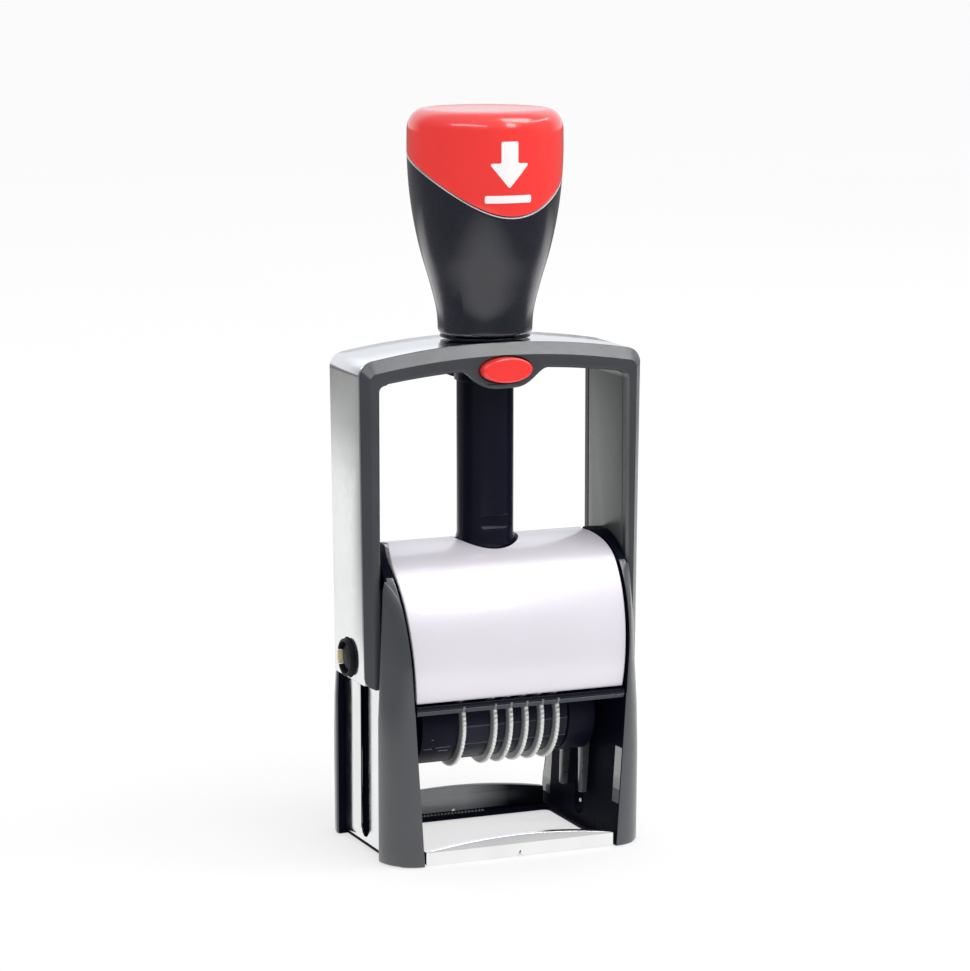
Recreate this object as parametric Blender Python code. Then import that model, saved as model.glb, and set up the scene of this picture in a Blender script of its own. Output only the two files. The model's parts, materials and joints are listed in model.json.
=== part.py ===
"""Self-inking numbering stamp with a steel stirrup, modelled piece by piece.

Frame: +X to the right, -Y towards the front, +Z up. The origin is on the table under the
middle of the base. Every size in this file is in millimetres; the meshes are in metres.
"""
import math

import bmesh
import bpy
from mathutils import Vector
from mathutils.geometry import convex_hull_2d, tessellate_polygon

MM = 0.001
GAP = 0.3                     # clearance left between neighbouring solids

# ---- driving dimensions ---------------------------------------------------------------
TOTAL_HEIGHT = 155.0
TRAVEL = 32.3                 # how far the stirrup and handle go down
AXLE_Z = 41.3                 # cross axle at rest
AXLE_R = 2.0

# base: two side frames, with a rim that is an ellipse above RIM_CENTRE_Z
INNER_WALL_X = 21.65          # inner wall at table height
INNER_WALL_SLOPE = 0.063      # the walls lean outwards by this much per millimetre of height
CREST_Z = 60.3                # above this height the walls curl inwards, up to the crest
CREST_CURL = 3.0              # how far they have curled in at the top of the rim
RIM_CENTRE_Z = 40.0
RIM_DEPTH = 20.0
RIM_RISE = 25.0
WING_Y = 12.1                 # edge of the channel that the stirrup arms run in
CHANNEL_X = 26.8
SLOT_HALF = 2.4
SLOT_BOTTOM = 4.6
SLOT_TOP = AXLE_Z + 2.0
PLATE_Y = 11.8                # bright plate on the channel's floor: half depth, ends, thickness
PLATE_LOW_Z = 1.2
PLATE_HIGH_Z = 57.0
PLATE_THICK = 0.4
BAR_NEAR_Y = 17.6             # the two guide bars lie between these depths
BAR_FAR_Y = 19.4
FRONT_BAR_Z = (2.9, 4.7)      # height of a guide bar's top at its ends and at its middle
REAR_BAR_Z = (4.2, 6.1)
NOTCH_HALF = 0.75             # centring notch in the guide bars' bottom edge
NOTCH_HEIGHT = 1.4
WINDOW_THICK = 0.9
WINDOW_OUTER = (21.2, 17.3)   # half sizes of the flange round the print window
WINDOW_INNER = (20.4, 13.2)

# cover
COVER_DEPTH = 19.4
COVER_THICK = 1.2
COVER_FRONT_Z = 34.3
COVER_REAR_Z = 58.6
COVER_HOLE_R = 7.2            # hole that the guide post stands in

# stirrup: a steel strap over a plastic liner, with a plastic trim along each edge
ARM_INNER_X = 27.84
ARM_OUTER_TOP_X = 31.65
ARM_OUTER_LOW_X = 30.85
ARM_BOTTOM_Z = 36.75
STEEL_Y = 8.6
STRAP_THICK = 1.6
PIVOT_HOLE_R = 4.3
BUSH_R = 3.95                 # the bush is a cup: a floor with a bore, and a standing rim
BUSH_RIM_R = 3.35
BUSH_FLOOR_X = 29.8
BUSH_FACE_X = 32.0
AXLE_CAP_R = 3.0
CLIP_TURN = 0.48              # half angle of the brass clip, which sits in a notch in the rim
TRIM_Y = 11.0
BRIDGE_TOP_Z = 107.2
BRIDGE_TOP_DROP = 2.55        # how much lower the arched top is at x = BRIDGE_TOP_SPAN
BRIDGE_TOP_SPAN = 29.0
BRIDGE_LOW_Z = 101.9
BRIDGE_LOW_DROP = 2.2
CORNER_R = 3.4
BOSS_HALF = 9.8
BOSS_DROP = 4.2
BOSS_FULLNESS = 1.8           # exponent that widens the boss round the button
BUTTON_Z = 101.7
BUTTON_A = 5.75
BUTTON_B = 2.7

# post, handle and cap
POST_R = 6.0
POST_BORE = 4.6
POST_TOP = 112.0
POST_FOOT_R = 6.5
POST_FOOT_TOP = 65.0
LATCH_NOTCH_Z = (67.4, 70.4)
LATCH_NOTCH_Y = -5.2
SPRING_R = 3.9
SPRING_WIRE_R = 0.5
SPRING_Z = (60.3, 147.7)
SPRING_TURNS = 9
BRIDGE_HOLE_R = 7.7           # hole in the bridge for the post's bushing
HANDLE_BOTTOM = 108.2
HANDLE_BORE = 6.6
CAP_WALL_R = 12.4             # radius of the handle's core inside the cap
HANDLE_PROFILE = (            # height and radius
    (108.2, 9.85), (113.0, 10.2), (118.8, 11.6), (125.5, 13.55), (132.2, 15.0),
    (138.8, 15.9), (145.5, 16.3), (150.5, 16.3))
CAP_TOP_FLAT_R = 12.7
CAP_SHOULDER_Z = 150.5        # where the cap's side starts to round over to its flat top
CAP_WAVE = (142.73, 6.88, 1.58, 0.47)      # mean height and three harmonics of the edge

# printing unit
WHEEL_Y = -4.1
WHEEL_Z = 27.6
DISC_R = 10.5
DISC_THICK = 1.0
DRUM_R = 8.3
BAND_INNER_R = 8.6
BAND_OUTER_R = 9.0
WHEEL_PITCH = 3.55
WHEEL_SLOTS = (-3, -1, 0, 1, 2, 3)         # in pitches from the centre; one is left blank
PIN_R = 1.5
BLOCK_OUTER_X = 19.8
ANVIL_HALF_Y = 2.2
ANVIL_Z = 48.3
CRANK = 4.0                   # cam pin's distance from the cross axle
CAM_PIN_R = 1.1
CAM_PIN_X = (20.1, 21.9)
CAM_RIB_X = 20.5

# pad shelf and ink pad
SHELF_Y = 11.0
SHELF_TOP_Z = 57.5
PAD_FACE_Z = 50.4
PAD_BACK_Z = 52.9
PAD_HALF = (17.3, 9.4)
GRIP_LOW_Z = 40.6


# ---- scene and materials --------------------------------------------------------------
for old in list(bpy.data.objects):
    bpy.data.objects.remove(old, do_unlink=True)


def material(name, colour, roughness, metallic=0.0):
    made = bpy.data.materials.new(name)
    made.use_nodes = True
    shader = made.node_tree.nodes["Principled BSDF"]
    shader.inputs["Base Color"].default_value = (*colour, 1.0)
    shader.inputs["Roughness"].default_value = roughness
    shader.inputs["Metallic"].default_value = metallic
    return made


BLACK = material("black_plastic", (0.012, 0.012, 0.02), 0.3)
GREY = material("dark_grey_plastic", (0.07, 0.075, 0.085), 0.45)
RED = material("red_plastic", (0.8, 0.03, 0.02), 0.25)
STEEL = material("polished_steel", (0.75, 0.76, 0.78), 0.2, 1.0)
SILVER = material("silver_cover", (0.75, 0.74, 0.78), 0.2, 0.2)
WHEEL = material("light_grey_plastic", (0.6, 0.6, 0.58), 0.4)
RUBBER = material("black_rubber", (0.02, 0.02, 0.025), 0.6)
BRASS = material("brass", (0.75, 0.6, 0.2), 0.3, 1.0)
FELT = material("inked_felt", (0.02, 0.02, 0.03), 0.9)


# ---- mesh helpers ---------------------------------------------------------------------
def finish(name, verts, faces, look, smooth_angle=35.0):
    """Make one object from points in millimetres, with its faces turned outwards."""
    mesh = bpy.data.meshes.new(name)
    mesh.from_pydata([Vector(v) * MM for v in verts], [], faces)
    bm = bmesh.new()
    bm.from_mesh(mesh)
    bmesh.ops.recalc_face_normals(bm, faces=bm.faces)
    bm.to_mesh(mesh)
    bm.free()
    mesh.materials.append(look)
    mesh.shade_smooth()
    mesh.set_sharp_from_angle(angle=math.radians(smooth_angle))
    made = bpy.data.objects.new(name, mesh)
    bpy.context.collection.objects.link(made)
    return made


def place_origin(piece, x, y, z):
    """Move a piece's origin to a point on its joint's axis, leaving its shape in place."""
    offset = Vector((x, y, z)) * MM
    for vertex in piece.data.vertices:
        vertex.co -= offset
    piece.location = offset
    return piece


def on_axis(axis, a, b, along):
    """Place a flat point (a, b) in the plane across axis, at the given distance along it."""
    if axis == "X":
        return (along, a, b)
    if axis == "Y":
        return (a, along, b)
    return (a, b, along)


def prism(name, outline, axis, low, high, look, holes=()):
    """Extrude an outline, with any holes, along an axis; low and high may vary by point."""
    loops = [list(outline)] + [list(hole) for hole in holes]
    flat = [point for loop in loops for point in loop]
    count = len(flat)
    low_at = low if callable(low) else lambda a, b: low
    high_at = high if callable(high) else lambda a, b: high
    verts = [on_axis(axis, a, b, low_at(a, b)) for a, b in flat]
    verts += [on_axis(axis, a, b, high_at(a, b)) for a, b in flat]
    caps = tessellate_polygon([[Vector((a, b, 0.0)) for a, b in loop] for loop in loops])
    faces = [tuple(face) for face in caps]
    faces += [tuple(index + count for index in reversed(face)) for face in caps]
    start = 0
    for loop in loops:
        size = len(loop)
        for i in range(size):
            a, b = start + i, start + (i + 1) % size
            faces.append((a, b, b + count, a + count))
        start += size
    return finish(name, verts, faces, look)


def loft(name, loops, axis, look):
    """Join closed outlines of equal length; each loop is (distance along axis, points)."""
    size = len(loops[0][1])
    verts = [on_axis(axis, a, b, along) for along, points in loops for a, b in points]
    faces = []
    for level in range(len(loops) - 1):
        for i in range(size):
            a, b = level * size + i, level * size + (i + 1) % size
            faces.append((a, b, b + size, a + size))
    for level in (0, len(loops) - 1):
        points = [Vector((a, b, 0.0)) for a, b in loops[level][1]]
        for face in tessellate_polygon([points]):
            faces.append(tuple(index + level * size for index in face))
    return finish(name, verts, faces, look)


def lathe(name, profile, segments, axis, centre, look, smooth_angle=35.0):
    """Turn a closed profile of (radius, height) about an axis through centre."""
    verts, rings, faces = [], [], []
    for radius, height in profile:
        if radius == 0.0:
            rings.append([len(verts)] * segments)
            verts.append(on_axis(axis, centre[0], centre[1], height))
            continue
        rings.append(list(range(len(verts), len(verts) + segments)))
        for i in range(segments):
            turn = math.tau * i / segments
            a = centre[0] + radius * math.cos(turn)
            b = centre[1] + radius * math.sin(turn)
            verts.append(on_axis(axis, a, b, height))
    for ring, after in zip(rings, rings[1:] + rings[:1]):
        for i in range(segments):
            j = (i + 1) % segments
            corners = []
            for index in (ring[i], ring[j], after[j], after[i]):
                if index not in corners:
                    corners.append(index)
            if len(corners) > 2:
                faces.append(tuple(corners))
    return finish(name, verts, faces, look, smooth_angle)


def cut(target, cutter):
    """Take the cutter's shape out of the target with a Boolean modifier."""
    cutter.hide_render = True
    cutter.display_type = "WIRE"
    boolean = target.modifiers.new("cut_" + cutter.name, "BOOLEAN")
    boolean.operation = "DIFFERENCE"
    boolean.solver = "EXACT"
    boolean.object = cutter


def circle(centre_a, centre_b, radius, segments, first=0.0, last=math.tau):
    """Points on an arc; a full circle leaves out the repeated last point."""
    full = abs(last - first) >= math.tau - 1e-6
    steps = segments if full else segments - 1
    return [(centre_a + radius * math.cos(first + (last - first) * i / steps),
             centre_b + radius * math.sin(first + (last - first) * i / steps))
            for i in range(segments)]


def hull(points):
    """Convex outline of flat points, as a rubber loop would lie round them."""
    flat = [Vector(p) for p in points]
    return [tuple(flat[i]) for i in convex_hull_2d(flat)]


def mirrored(points):
    return [(-a, b) for a, b in reversed(points)]


# ---- base -----------------------------------------------------------------------------
def inner_wall(z):
    """Distance of a side frame's inner wall from the middle, at a height."""
    x = INNER_WALL_X + INNER_WALL_SLOPE * z
    if z > CREST_Z:
        rise = min((z - CREST_Z) / (RIM_CENTRE_Z + RIM_RISE - CREST_Z), 1.0)
        x -= CREST_CURL * (1.0 - math.sqrt(1.0 - rise * rise))
    return x


def rim_y(z):
    """Half depth of the side frame's rim at a height."""
    if z <= RIM_CENTRE_Z:
        return RIM_DEPTH
    rise = min((z - RIM_CENTRE_Z) / RIM_RISE, 1.0)
    return RIM_DEPTH * math.sqrt(1.0 - rise * rise)


def wing_section(z):
    """Outline of the right side frame at one height, both wings round the arm channel."""
    steps = 8
    reach = rim_y(z)
    full_wing = z < 59.0
    corner_y = WING_Y if full_wing else reach - 0.5
    outer_x = 29.2 - max(0.0, z - 30.0) * 0.042 if full_wing else CHANNEL_X + 0.6
    bulge = 1.0 if z < 20.0 else max(0.72, 1.0 - (z - 20.0) * 0.014)
    front = []
    for i in range(steps + 1):
        turn = 0.5 * math.pi * i / steps
        x = inner_wall(z) + (outer_x - inner_wall(z)) * math.sin(turn) ** (1.0 / bulge)
        y = -corner_y - (reach - corner_y) * math.cos(turn) ** (1.0 / bulge)
        front.append((x, y))
    front.append((CHANNEL_X, -corner_y))
    return front + [(x, -y) for x, y in reversed(front)]


def axle_slot():
    """Outline of the long vertical slot that the cross axle moves in."""
    return (circle(0.0, SLOT_BOTTOM, SLOT_HALF, 9, math.pi, math.tau)
            + circle(0.0, SLOT_TOP, SLOT_HALF, 9, 0.0, math.pi))


def side_frame(side, name):
    levels = (0.0, 1.0, 10.0, 20.0, 30.0, 36.0, 41.0, 46.0, 50.5, 54.5, 58.0, 60.5, 62.2, 63.5,
              64.4, 64.8)
    foot_chamfer, foot_shrink = 0.35, 0.985
    loops = []
    for z in levels:
        loop = wing_section(z)
        if z == 0.0:
            loop = [(x if x < CHANNEL_X else x - foot_chamfer, y * foot_shrink)
                    for x, y in loop]
        loops.append((z, [(side * x, y) for x, y in loop]))
    frame = loft(name, loops, "Z", GREY)
    low, high = sorted((side * 20.0, side * 31.0))
    cut(frame, prism(name + "_slot_cutter", axle_slot(), "X", low, high, GREY))
    return frame


def side_plate(side, name):
    """Bright metal plate on the floor of the arm channel, with the axle's slot."""
    outline = [(-PLATE_Y, PLATE_LOW_Z), (PLATE_Y, PLATE_LOW_Z),
               (PLATE_Y, PLATE_HIGH_Z), (-PLATE_Y, PLATE_HIGH_Z)]
    near = CHANNEL_X + GAP
    low, high = sorted((side * near, side * (near + PLATE_THICK)))
    return prism(name, outline, "X", low, high, STEEL, [axle_slot()])


def guide_bar(name, front_y, back_y, heights, look):
    """Low cross bar with an arched top and a centring notch in its bottom edge."""
    end_z, middle_z = heights
    half = INNER_WALL_X - GAP
    steps = 10
    outline = [(-half, 0.0), (-NOTCH_HALF, 0.0), (0.0, NOTCH_HEIGHT), (NOTCH_HALF, 0.0),
               (half, 0.0)]
    for i in range(steps + 1):
        x = half - 2.0 * half * i / steps
        outline.append((x, middle_z - (middle_z - end_z) * (x / half) ** 2))
    return prism(name, outline, "Y", front_y, back_y, look)


def window_frame():
    """Flat flange at table height round the opening that the bands print through."""
    outer, inner = [[(-x, -y), (x, -y), (x, y), (-x, y)] for x, y in (WINDOW_OUTER, WINDOW_INNER)]
    return prism("window_frame", outer, "Z", 0.0, WINDOW_THICK, BLACK, [inner])


def ellipse_angle(z):
    """Angle at which the cover's ellipse has a height, on the rear side."""
    return math.asin((z - RIM_CENTRE_Z) / RIM_RISE)


def shell_outline(first, last, thick, steps):
    """Curved strip in the YZ plane, between two angles on the cover's ellipse."""
    depth, rise = COVER_DEPTH, RIM_RISE
    outer, inner = [], []
    for i in range(steps + 1):
        turn = first + (last - first) * i / steps
        outer.append((depth * math.cos(turn), RIM_CENTRE_Z + rise * math.sin(turn)))
        inner.append(((depth - thick) * math.cos(turn),
                      RIM_CENTRE_Z + (rise - thick) * math.sin(turn)))
    return outer + inner[::-1]


def cover():
    """Bright curved hood between the side frames, with the hole for the guide post."""
    outline = shell_outline(ellipse_angle(COVER_REAR_Z), math.pi - ellipse_angle(COVER_FRONT_Z),
                            COVER_THICK, 22)
    hood = prism("cover", outline, "X", lambda y, z: GAP - inner_wall(z),
                 lambda y, z: inner_wall(z) - GAP, SILVER)
    hole = [(0.0, 70.0), (COVER_HOLE_R, 70.0), (COVER_HOLE_R, 58.0), (0.0, 58.0)]
    cut(hood, lathe("post_hole_cutter", hole, 32, "Z", (0.0, 0.0), SILVER))
    return hood


def index_bar():
    """Black lip under the cover's front edge, above the number wheels."""
    outline = [(-19.5, 32.0), (-17.4, 32.0), (-17.4, 33.9), (-19.9, 33.9), (-20.0, 32.8)]
    return prism("index_bar", outline, "X", lambda y, z: GAP - inner_wall(z),
                 lambda y, z: inner_wall(z) - GAP, BLACK)


def guide_post():
    """Hollow post with a flared foot; the notch near its foot takes the lock button."""
    foot, floor, chamfer = SHELF_TOP_Z + GAP, SPRING_Z[0] - GAP, 0.6
    profile = [(POST_BORE, floor), (0.0, floor), (0.0, foot), (POST_FOOT_R, foot),
               (POST_FOOT_R, POST_FOOT_TOP), (POST_R, POST_FOOT_TOP + 0.7),
               (POST_R, POST_TOP - chamfer), (POST_R - chamfer, POST_TOP), (POST_BORE, POST_TOP)]
    post = lathe("guide_post", profile, 32, "Z", (0.0, 0.0), BLACK)
    notch = [(-8.0, -8.0), (8.0, -8.0), (8.0, LATCH_NOTCH_Y), (-8.0, LATCH_NOTCH_Y)]
    cut(post, prism("latch_notch_cutter", notch, "Z", *LATCH_NOTCH_Z, BLACK))
    return post


def return_spring():
    """Compression spring: a tube swept along a helix, closed at both ends."""
    radius, wire, (low, high) = SPRING_R, SPRING_WIRE_R, SPRING_Z
    per_turn, sides = 10, 5
    steps = SPRING_TURNS * per_turn
    verts, faces = [], []
    for i in range(steps + 1):
        turn = math.tau * i / per_turn
        z = low + wire + (high - low - 2.0 * wire) * i / steps
        out = Vector((math.cos(turn), math.sin(turn), 0.0))
        for k in range(sides):
            round_wire = math.tau * k / sides
            point = out * (radius + wire * math.cos(round_wire))
            verts.append((point.x, point.y, z + wire * math.sin(round_wire)))
    for i in range(steps):
        for k in range(sides):
            a, b = i * sides + k, i * sides + (k + 1) % sides
            faces.append((a, b, b + sides, a + sides))
    faces.append(tuple(range(sides)))
    faces.append(tuple(range(steps * sides, (steps + 1) * sides)))
    return finish("return_spring", verts, faces, STEEL, 80.0)


def pad_shelf():
    """Bridge between the side frames that carries the post and the pad tray's rails."""
    half, wall, lip = 24.2, 23.1, 21.4
    outline = [(-half, 50.2), (-lip, 50.2), (-lip, 51.0), (-wall, 51.0), (-wall, 56.3),
               (wall, 56.3), (wall, 51.0), (lip, 51.0), (lip, 50.2), (half, 50.2),
               (half, SHELF_TOP_Z), (-half, SHELF_TOP_Z)]
    return prism("pad_shelf", outline, "Y", -SHELF_Y, SHELF_Y, BLACK)


def cam_path(turn):
    """Centre of a cam pin while the unit turns from 0 to half a turn."""
    drop = TRAVEL * turn / math.pi
    return (-CRANK * math.cos(turn), AXLE_Z - drop - CRANK * math.sin(turn))


def cam_rib_outline():
    """Front rib of the cam track: beside the pin's path, then beside the axle slot."""
    clearance, slot_side, width, foot = CAM_PIN_R + 0.45, -2.75, 1.7, 8.0
    edge = [(-CRANK - clearance, AXLE_Z + 1.5)]
    steps = 12
    for i in range(steps + 1):
        turn = 0.5 * math.pi * i / steps
        y, z = cam_path(turn)
        ahead_y, ahead_z = cam_path(turn + 0.01)
        length = math.hypot(ahead_y - y, ahead_z - z)
        side_y = y + clearance * (ahead_z - z) / length
        side_z = z - clearance * (ahead_y - y) / length
        if side_y > slot_side:
            break
        edge.append((side_y, side_z))
    edge.append((slot_side, edge[-1][1] - 1.0))
    edge.append((slot_side, foot))
    return edge + [(y - width, z) for y, z in reversed(edge)]


def cam_ribs(side, word):
    middle = 2.0 * AXLE_Z - TRAVEL
    front = cam_rib_outline()
    rear = [(-y, middle - z) for y, z in front]
    for place, outline in (("front", front), ("rear", rear)):
        name = f"{word}_{place}_cam_rib"
        if side > 0:
            prism(name, outline, "X", CAM_RIB_X, lambda y, z: inner_wall(z) - GAP, BLACK)
        else:
            prism(name, outline, "X", lambda y, z: GAP - inner_wall(z), -CAM_RIB_X, BLACK)


def pad_tray():
    """Inverted tray on the shelf's rails, with the pad facing down and a rear grip."""
    outline = [(-22.8, 51.3), (-17.6, 51.3), (-17.6, 53.2), (17.6, 53.2), (17.6, 51.3),
               (22.8, 51.3), (22.8, 52.3), (21.0, 52.3), (21.0, 55.9), (-21.0, 55.9),
               (-21.0, 52.3), (-22.8, 52.3)]
    prism("pad_tray", outline, "Y", -10.4, 12.7, BLACK)
    x, y = PAD_HALF
    prism("ink_pad", [(-x, -y), (x, -y), (x, y), (-x, y)], "Z", PAD_FACE_Z, PAD_BACK_Z, FELT)
    grip = shell_outline(ellipse_angle(GRIP_LOW_Z), ellipse_angle(COVER_REAR_Z - GAP), 1.6, 8)
    prism("pad_grip", grip, "X", -22.0, 22.0, BLACK)


# ---- stirrup, trims, handle -----------------------------------------------------------
def arm_outer(z):
    share = (z - ARM_BOTTOM_Z) / (104.0 - ARM_BOTTOM_Z)
    return ARM_OUTER_LOW_X + (ARM_OUTER_TOP_X - ARM_OUTER_LOW_X) * min(1.0, share)


def bridge_top(x):
    return BRIDGE_TOP_Z - BRIDGE_TOP_DROP * (x / BRIDGE_TOP_SPAN) ** 2


def bridge_low(x, boss):
    z = BRIDGE_LOW_Z - BRIDGE_LOW_DROP * (x / ARM_INNER_X) ** 2
    if boss and abs(x) < BOSS_HALF:
        share = (abs(x) / BOSS_HALF) ** BOSS_FULLNESS
        z -= BOSS_DROP * 0.5 * (1.0 + math.cos(math.pi * share))
    return z


def outer_edge(bottom, side_inset=0.0, top_inset=0.0):
    """Outside of the U in the XZ plane, from the right foot over the top to the left foot."""
    radius = CORNER_R - side_inset
    corner_z = bridge_top(ARM_OUTER_TOP_X) - top_inset - radius
    corner_x = ARM_OUTER_TOP_X - side_inset - radius
    right = [(arm_outer(bottom) - side_inset, bottom),
             (arm_outer(corner_z) - side_inset, corner_z)]
    right += circle(corner_x, corner_z, radius, 6, 0.0, 0.5 * math.pi)[1:]
    top_steps = 7
    for i in range(top_steps):
        x = corner_x * (1.0 - (i + 1) / top_steps)
        right.append((x, bridge_top(x) - top_inset))
    return right + mirrored(right)[1:]


def inner_edge(bottom, boss):
    """Inside of the U, from the left foot to the right foot, with or without the boss."""
    inner_r = 1.4
    low_z = bridge_low(ARM_INNER_X, boss) - inner_r
    left = [(-ARM_INNER_X, bottom), (-ARM_INNER_X, low_z)]
    left += circle(inner_r - ARM_INNER_X, low_z, inner_r, 4, math.pi, 0.5 * math.pi)[1:]
    low_steps = 12 if boss else 5
    for i in range(low_steps):
        x = (inner_r - ARM_INNER_X) * (1.0 - (i + 1) / low_steps)
        left.append((x, bridge_low(x, boss)))
    return left + mirrored(left)[1:]


def stirrup():
    """Steel strap bent into a U over a plastic liner, with the post's and the pivots' holes."""
    behind = STRAP_THICK + GAP
    strap = outer_edge(ARM_BOTTOM_Z) + outer_edge(ARM_BOTTOM_Z, STRAP_THICK, STRAP_THICK)[::-1]
    liner = outer_edge(ARM_BOTTOM_Z, behind, behind) + inner_edge(ARM_BOTTOM_Z, False)
    hole = [(0.0, 112.0), (BRIDGE_HOLE_R, 112.0), (BRIDGE_HOLE_R, 92.0), (0.0, 92.0)]
    bridge_hole = lathe("bridge_hole_cutter", hole, 32, "Z", (0.0, 0.0), STEEL)
    pivot_hole = prism("pivot_hole_cutter", circle(0.0, AXLE_Z, PIVOT_HOLE_R, 24), "X",
                       -35.0, 35.0, STEEL)
    for name, outline, look in (("stirrup", strap, STEEL), ("stirrup_liner", liner, GREY)):
        bent = prism(name, outline, "Y", -STEEL_Y, STEEL_Y, look)
        cut(bent, bridge_hole)
        cut(bent, pivot_hole)


def trim(name, side):
    """Plastic U along one edge of the steel, bevelled towards its outer face."""
    bottom = ARM_BOTTOM_Z - 0.5
    side_bevel, top_bevel = 1.6, 2.5
    inside = inner_edge(bottom, True)
    back = outer_edge(bottom) + inside
    front = outer_edge(bottom, side_bevel, top_bevel) + inside
    loops = [(side * (STEEL_Y + GAP), back), (side * (STEEL_Y + 0.6), back),
             (side * TRIM_Y, front)]
    strip = loft(name, loops, "Y", GREY)
    if side < 0:
        opening = [(x * (BUTTON_A + GAP), BUTTON_Z + z * (BUTTON_B + GAP))
                   for x, z in circle(0.0, 0.0, 1.0, 32)]
        cut(strip, prism("button_hole_cutter", opening, "Y", -15.0, -5.0, GREY))
    return strip


def lock_button():
    """Oval push button; pushed in at the bottom of the stroke it holds the stamp down."""
    rings = ((-10.1, 1.0), (-11.9, 1.0), (-12.5, 0.88), (-12.8, 0.6))
    loops = [(y, [(x * BUTTON_A * share, BUTTON_Z + z * BUTTON_B * share)
                  for x, z in circle(0.0, 0.0, 1.0, 32)]) for y, share in rings]
    return place_origin(loft("lock_button", loops, "Y", RED), 0.0, -10.1, BUTTON_Z)


def post_bushing():
    profile = [(POST_R + GAP, 98.4), (7.4, 98.4), (7.4, 107.5), (9.5, 107.5), (9.5, 107.9),
               (POST_R + GAP, 107.9)]
    return lathe("post_bushing", profile, 32, "Z", (0.0, 0.0), BLACK)


def handle_radius(z):
    """Smooth outer radius of the handle and cap through the profile's points."""
    points = HANDLE_PROFILE
    z = min(max(z, points[0][0]), points[-1][0])
    for k in range(len(points) - 1):
        if z <= points[k + 1][0]:
            break
    z0, r0 = points[k]
    z1, r1 = points[k + 1]
    before = points[max(k - 1, 0)]
    after = points[min(k + 2, len(points) - 1)]
    slope0 = (r1 - before[1]) / (z1 - before[0])
    slope1 = (after[1] - r0) / (after[0] - z0)
    t, span = (z - z0) / (z1 - z0), z1 - z0
    return ((2 * t ** 3 - 3 * t ** 2 + 1) * r0 + (t ** 3 - 2 * t ** 2 + t) * span * slope0
            + (3 * t ** 2 - 2 * t ** 3) * r1 + (t ** 3 - t ** 2) * span * slope1)


def wave(turn):
    """Height of the cap's lower edge; turn is measured from the front."""
    mean, first, second, third = CAP_WAVE
    return (mean - first * math.cos(turn) - second * math.cos(2.0 * turn)
            - third * math.cos(3.0 * turn))


def turned_with_wave(name, rings, segments, look):
    """Body of rings whose radius and height depend on the turn from the front."""
    verts, index_rings, faces = [], [], []
    for ring in rings:
        if not callable(ring):
            index_rings.append([len(verts)] * segments)
            verts.append((0.0, 0.0, ring))
            continue
        index_rings.append(list(range(len(verts), len(verts) + segments)))
        for i in range(segments):
            turn = math.tau * i / segments
            radius, z = ring(turn)
            verts.append((radius * math.sin(turn), -radius * math.cos(turn), z))
    for ring, after in zip(index_rings, index_rings[1:] + index_rings[:1]):
        for i in range(segments):
            j = (i + 1) % segments
            corners = []
            for index in (ring[i], ring[j], after[j], after[i]):
                if index not in corners:
                    corners.append(index)
            if len(corners) > 2:
                faces.append(tuple(corners))
    return finish(name, verts, faces, look, 40.0)


def handle():
    """Waisted grip with a bore for the post and spring, and a core inside the cap."""
    def outer(share):
        def ring(turn):
            top = wave(turn) - GAP
            z = HANDLE_BOTTOM + (top - HANDLE_BOTTOM) * share
            return handle_radius(z), z
        return ring
    shares = [i / 11.0 for i in range(12)]
    rings = [lambda t: (HANDLE_BORE, HANDLE_BOTTOM)]
    rings += [outer(share) for share in shares]
    rings += [lambda t: (CAP_WALL_R - GAP, wave(t) - GAP),
              lambda t: (CAP_WALL_R - GAP, 150.8), 150.8, 148.0,
              lambda t: (HANDLE_BORE, 148.0)]
    return turned_with_wave("handle", rings, 36, BLACK)


def handle_cap():
    """Red cap: its lower edge dips at the front and rises to the back."""
    def outer(share):
        def ring(turn):
            z = wave(turn) + (CAP_SHOULDER_Z - wave(turn)) * share
            return handle_radius(z), z
        return ring
    edge_r = HANDLE_PROFILE[-1][1] - CAP_TOP_FLAT_R
    rings = [lambda t: (CAP_WALL_R, wave(t))]
    rings += [outer(share) for share in (0.0, 0.25, 0.5, 0.75, 1.0)]
    for step in (1, 2, 3):
        turn_in = 0.5 * math.pi * step / 3
        radius = CAP_TOP_FLAT_R + edge_r * math.cos(turn_in)
        z = CAP_SHOULDER_Z + (TOTAL_HEIGHT - CAP_SHOULDER_Z) * math.sin(turn_in)
        rings.append(lambda t, radius=radius, z=z: (radius, z))
    rings += [TOTAL_HEIGHT, 151.3, lambda t: (CAP_WALL_R, 151.3)]
    return turned_with_wave("handle_cap", rings, 36, RED)


def sector(near_r, far_r, half_turn):
    """Part of a ring round the axle, on its rear side."""
    return (circle(0.0, AXLE_Z, far_r, 7, -half_turn, half_turn)
            + circle(0.0, AXLE_Z, near_r, 7, half_turn, -half_turn))


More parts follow.
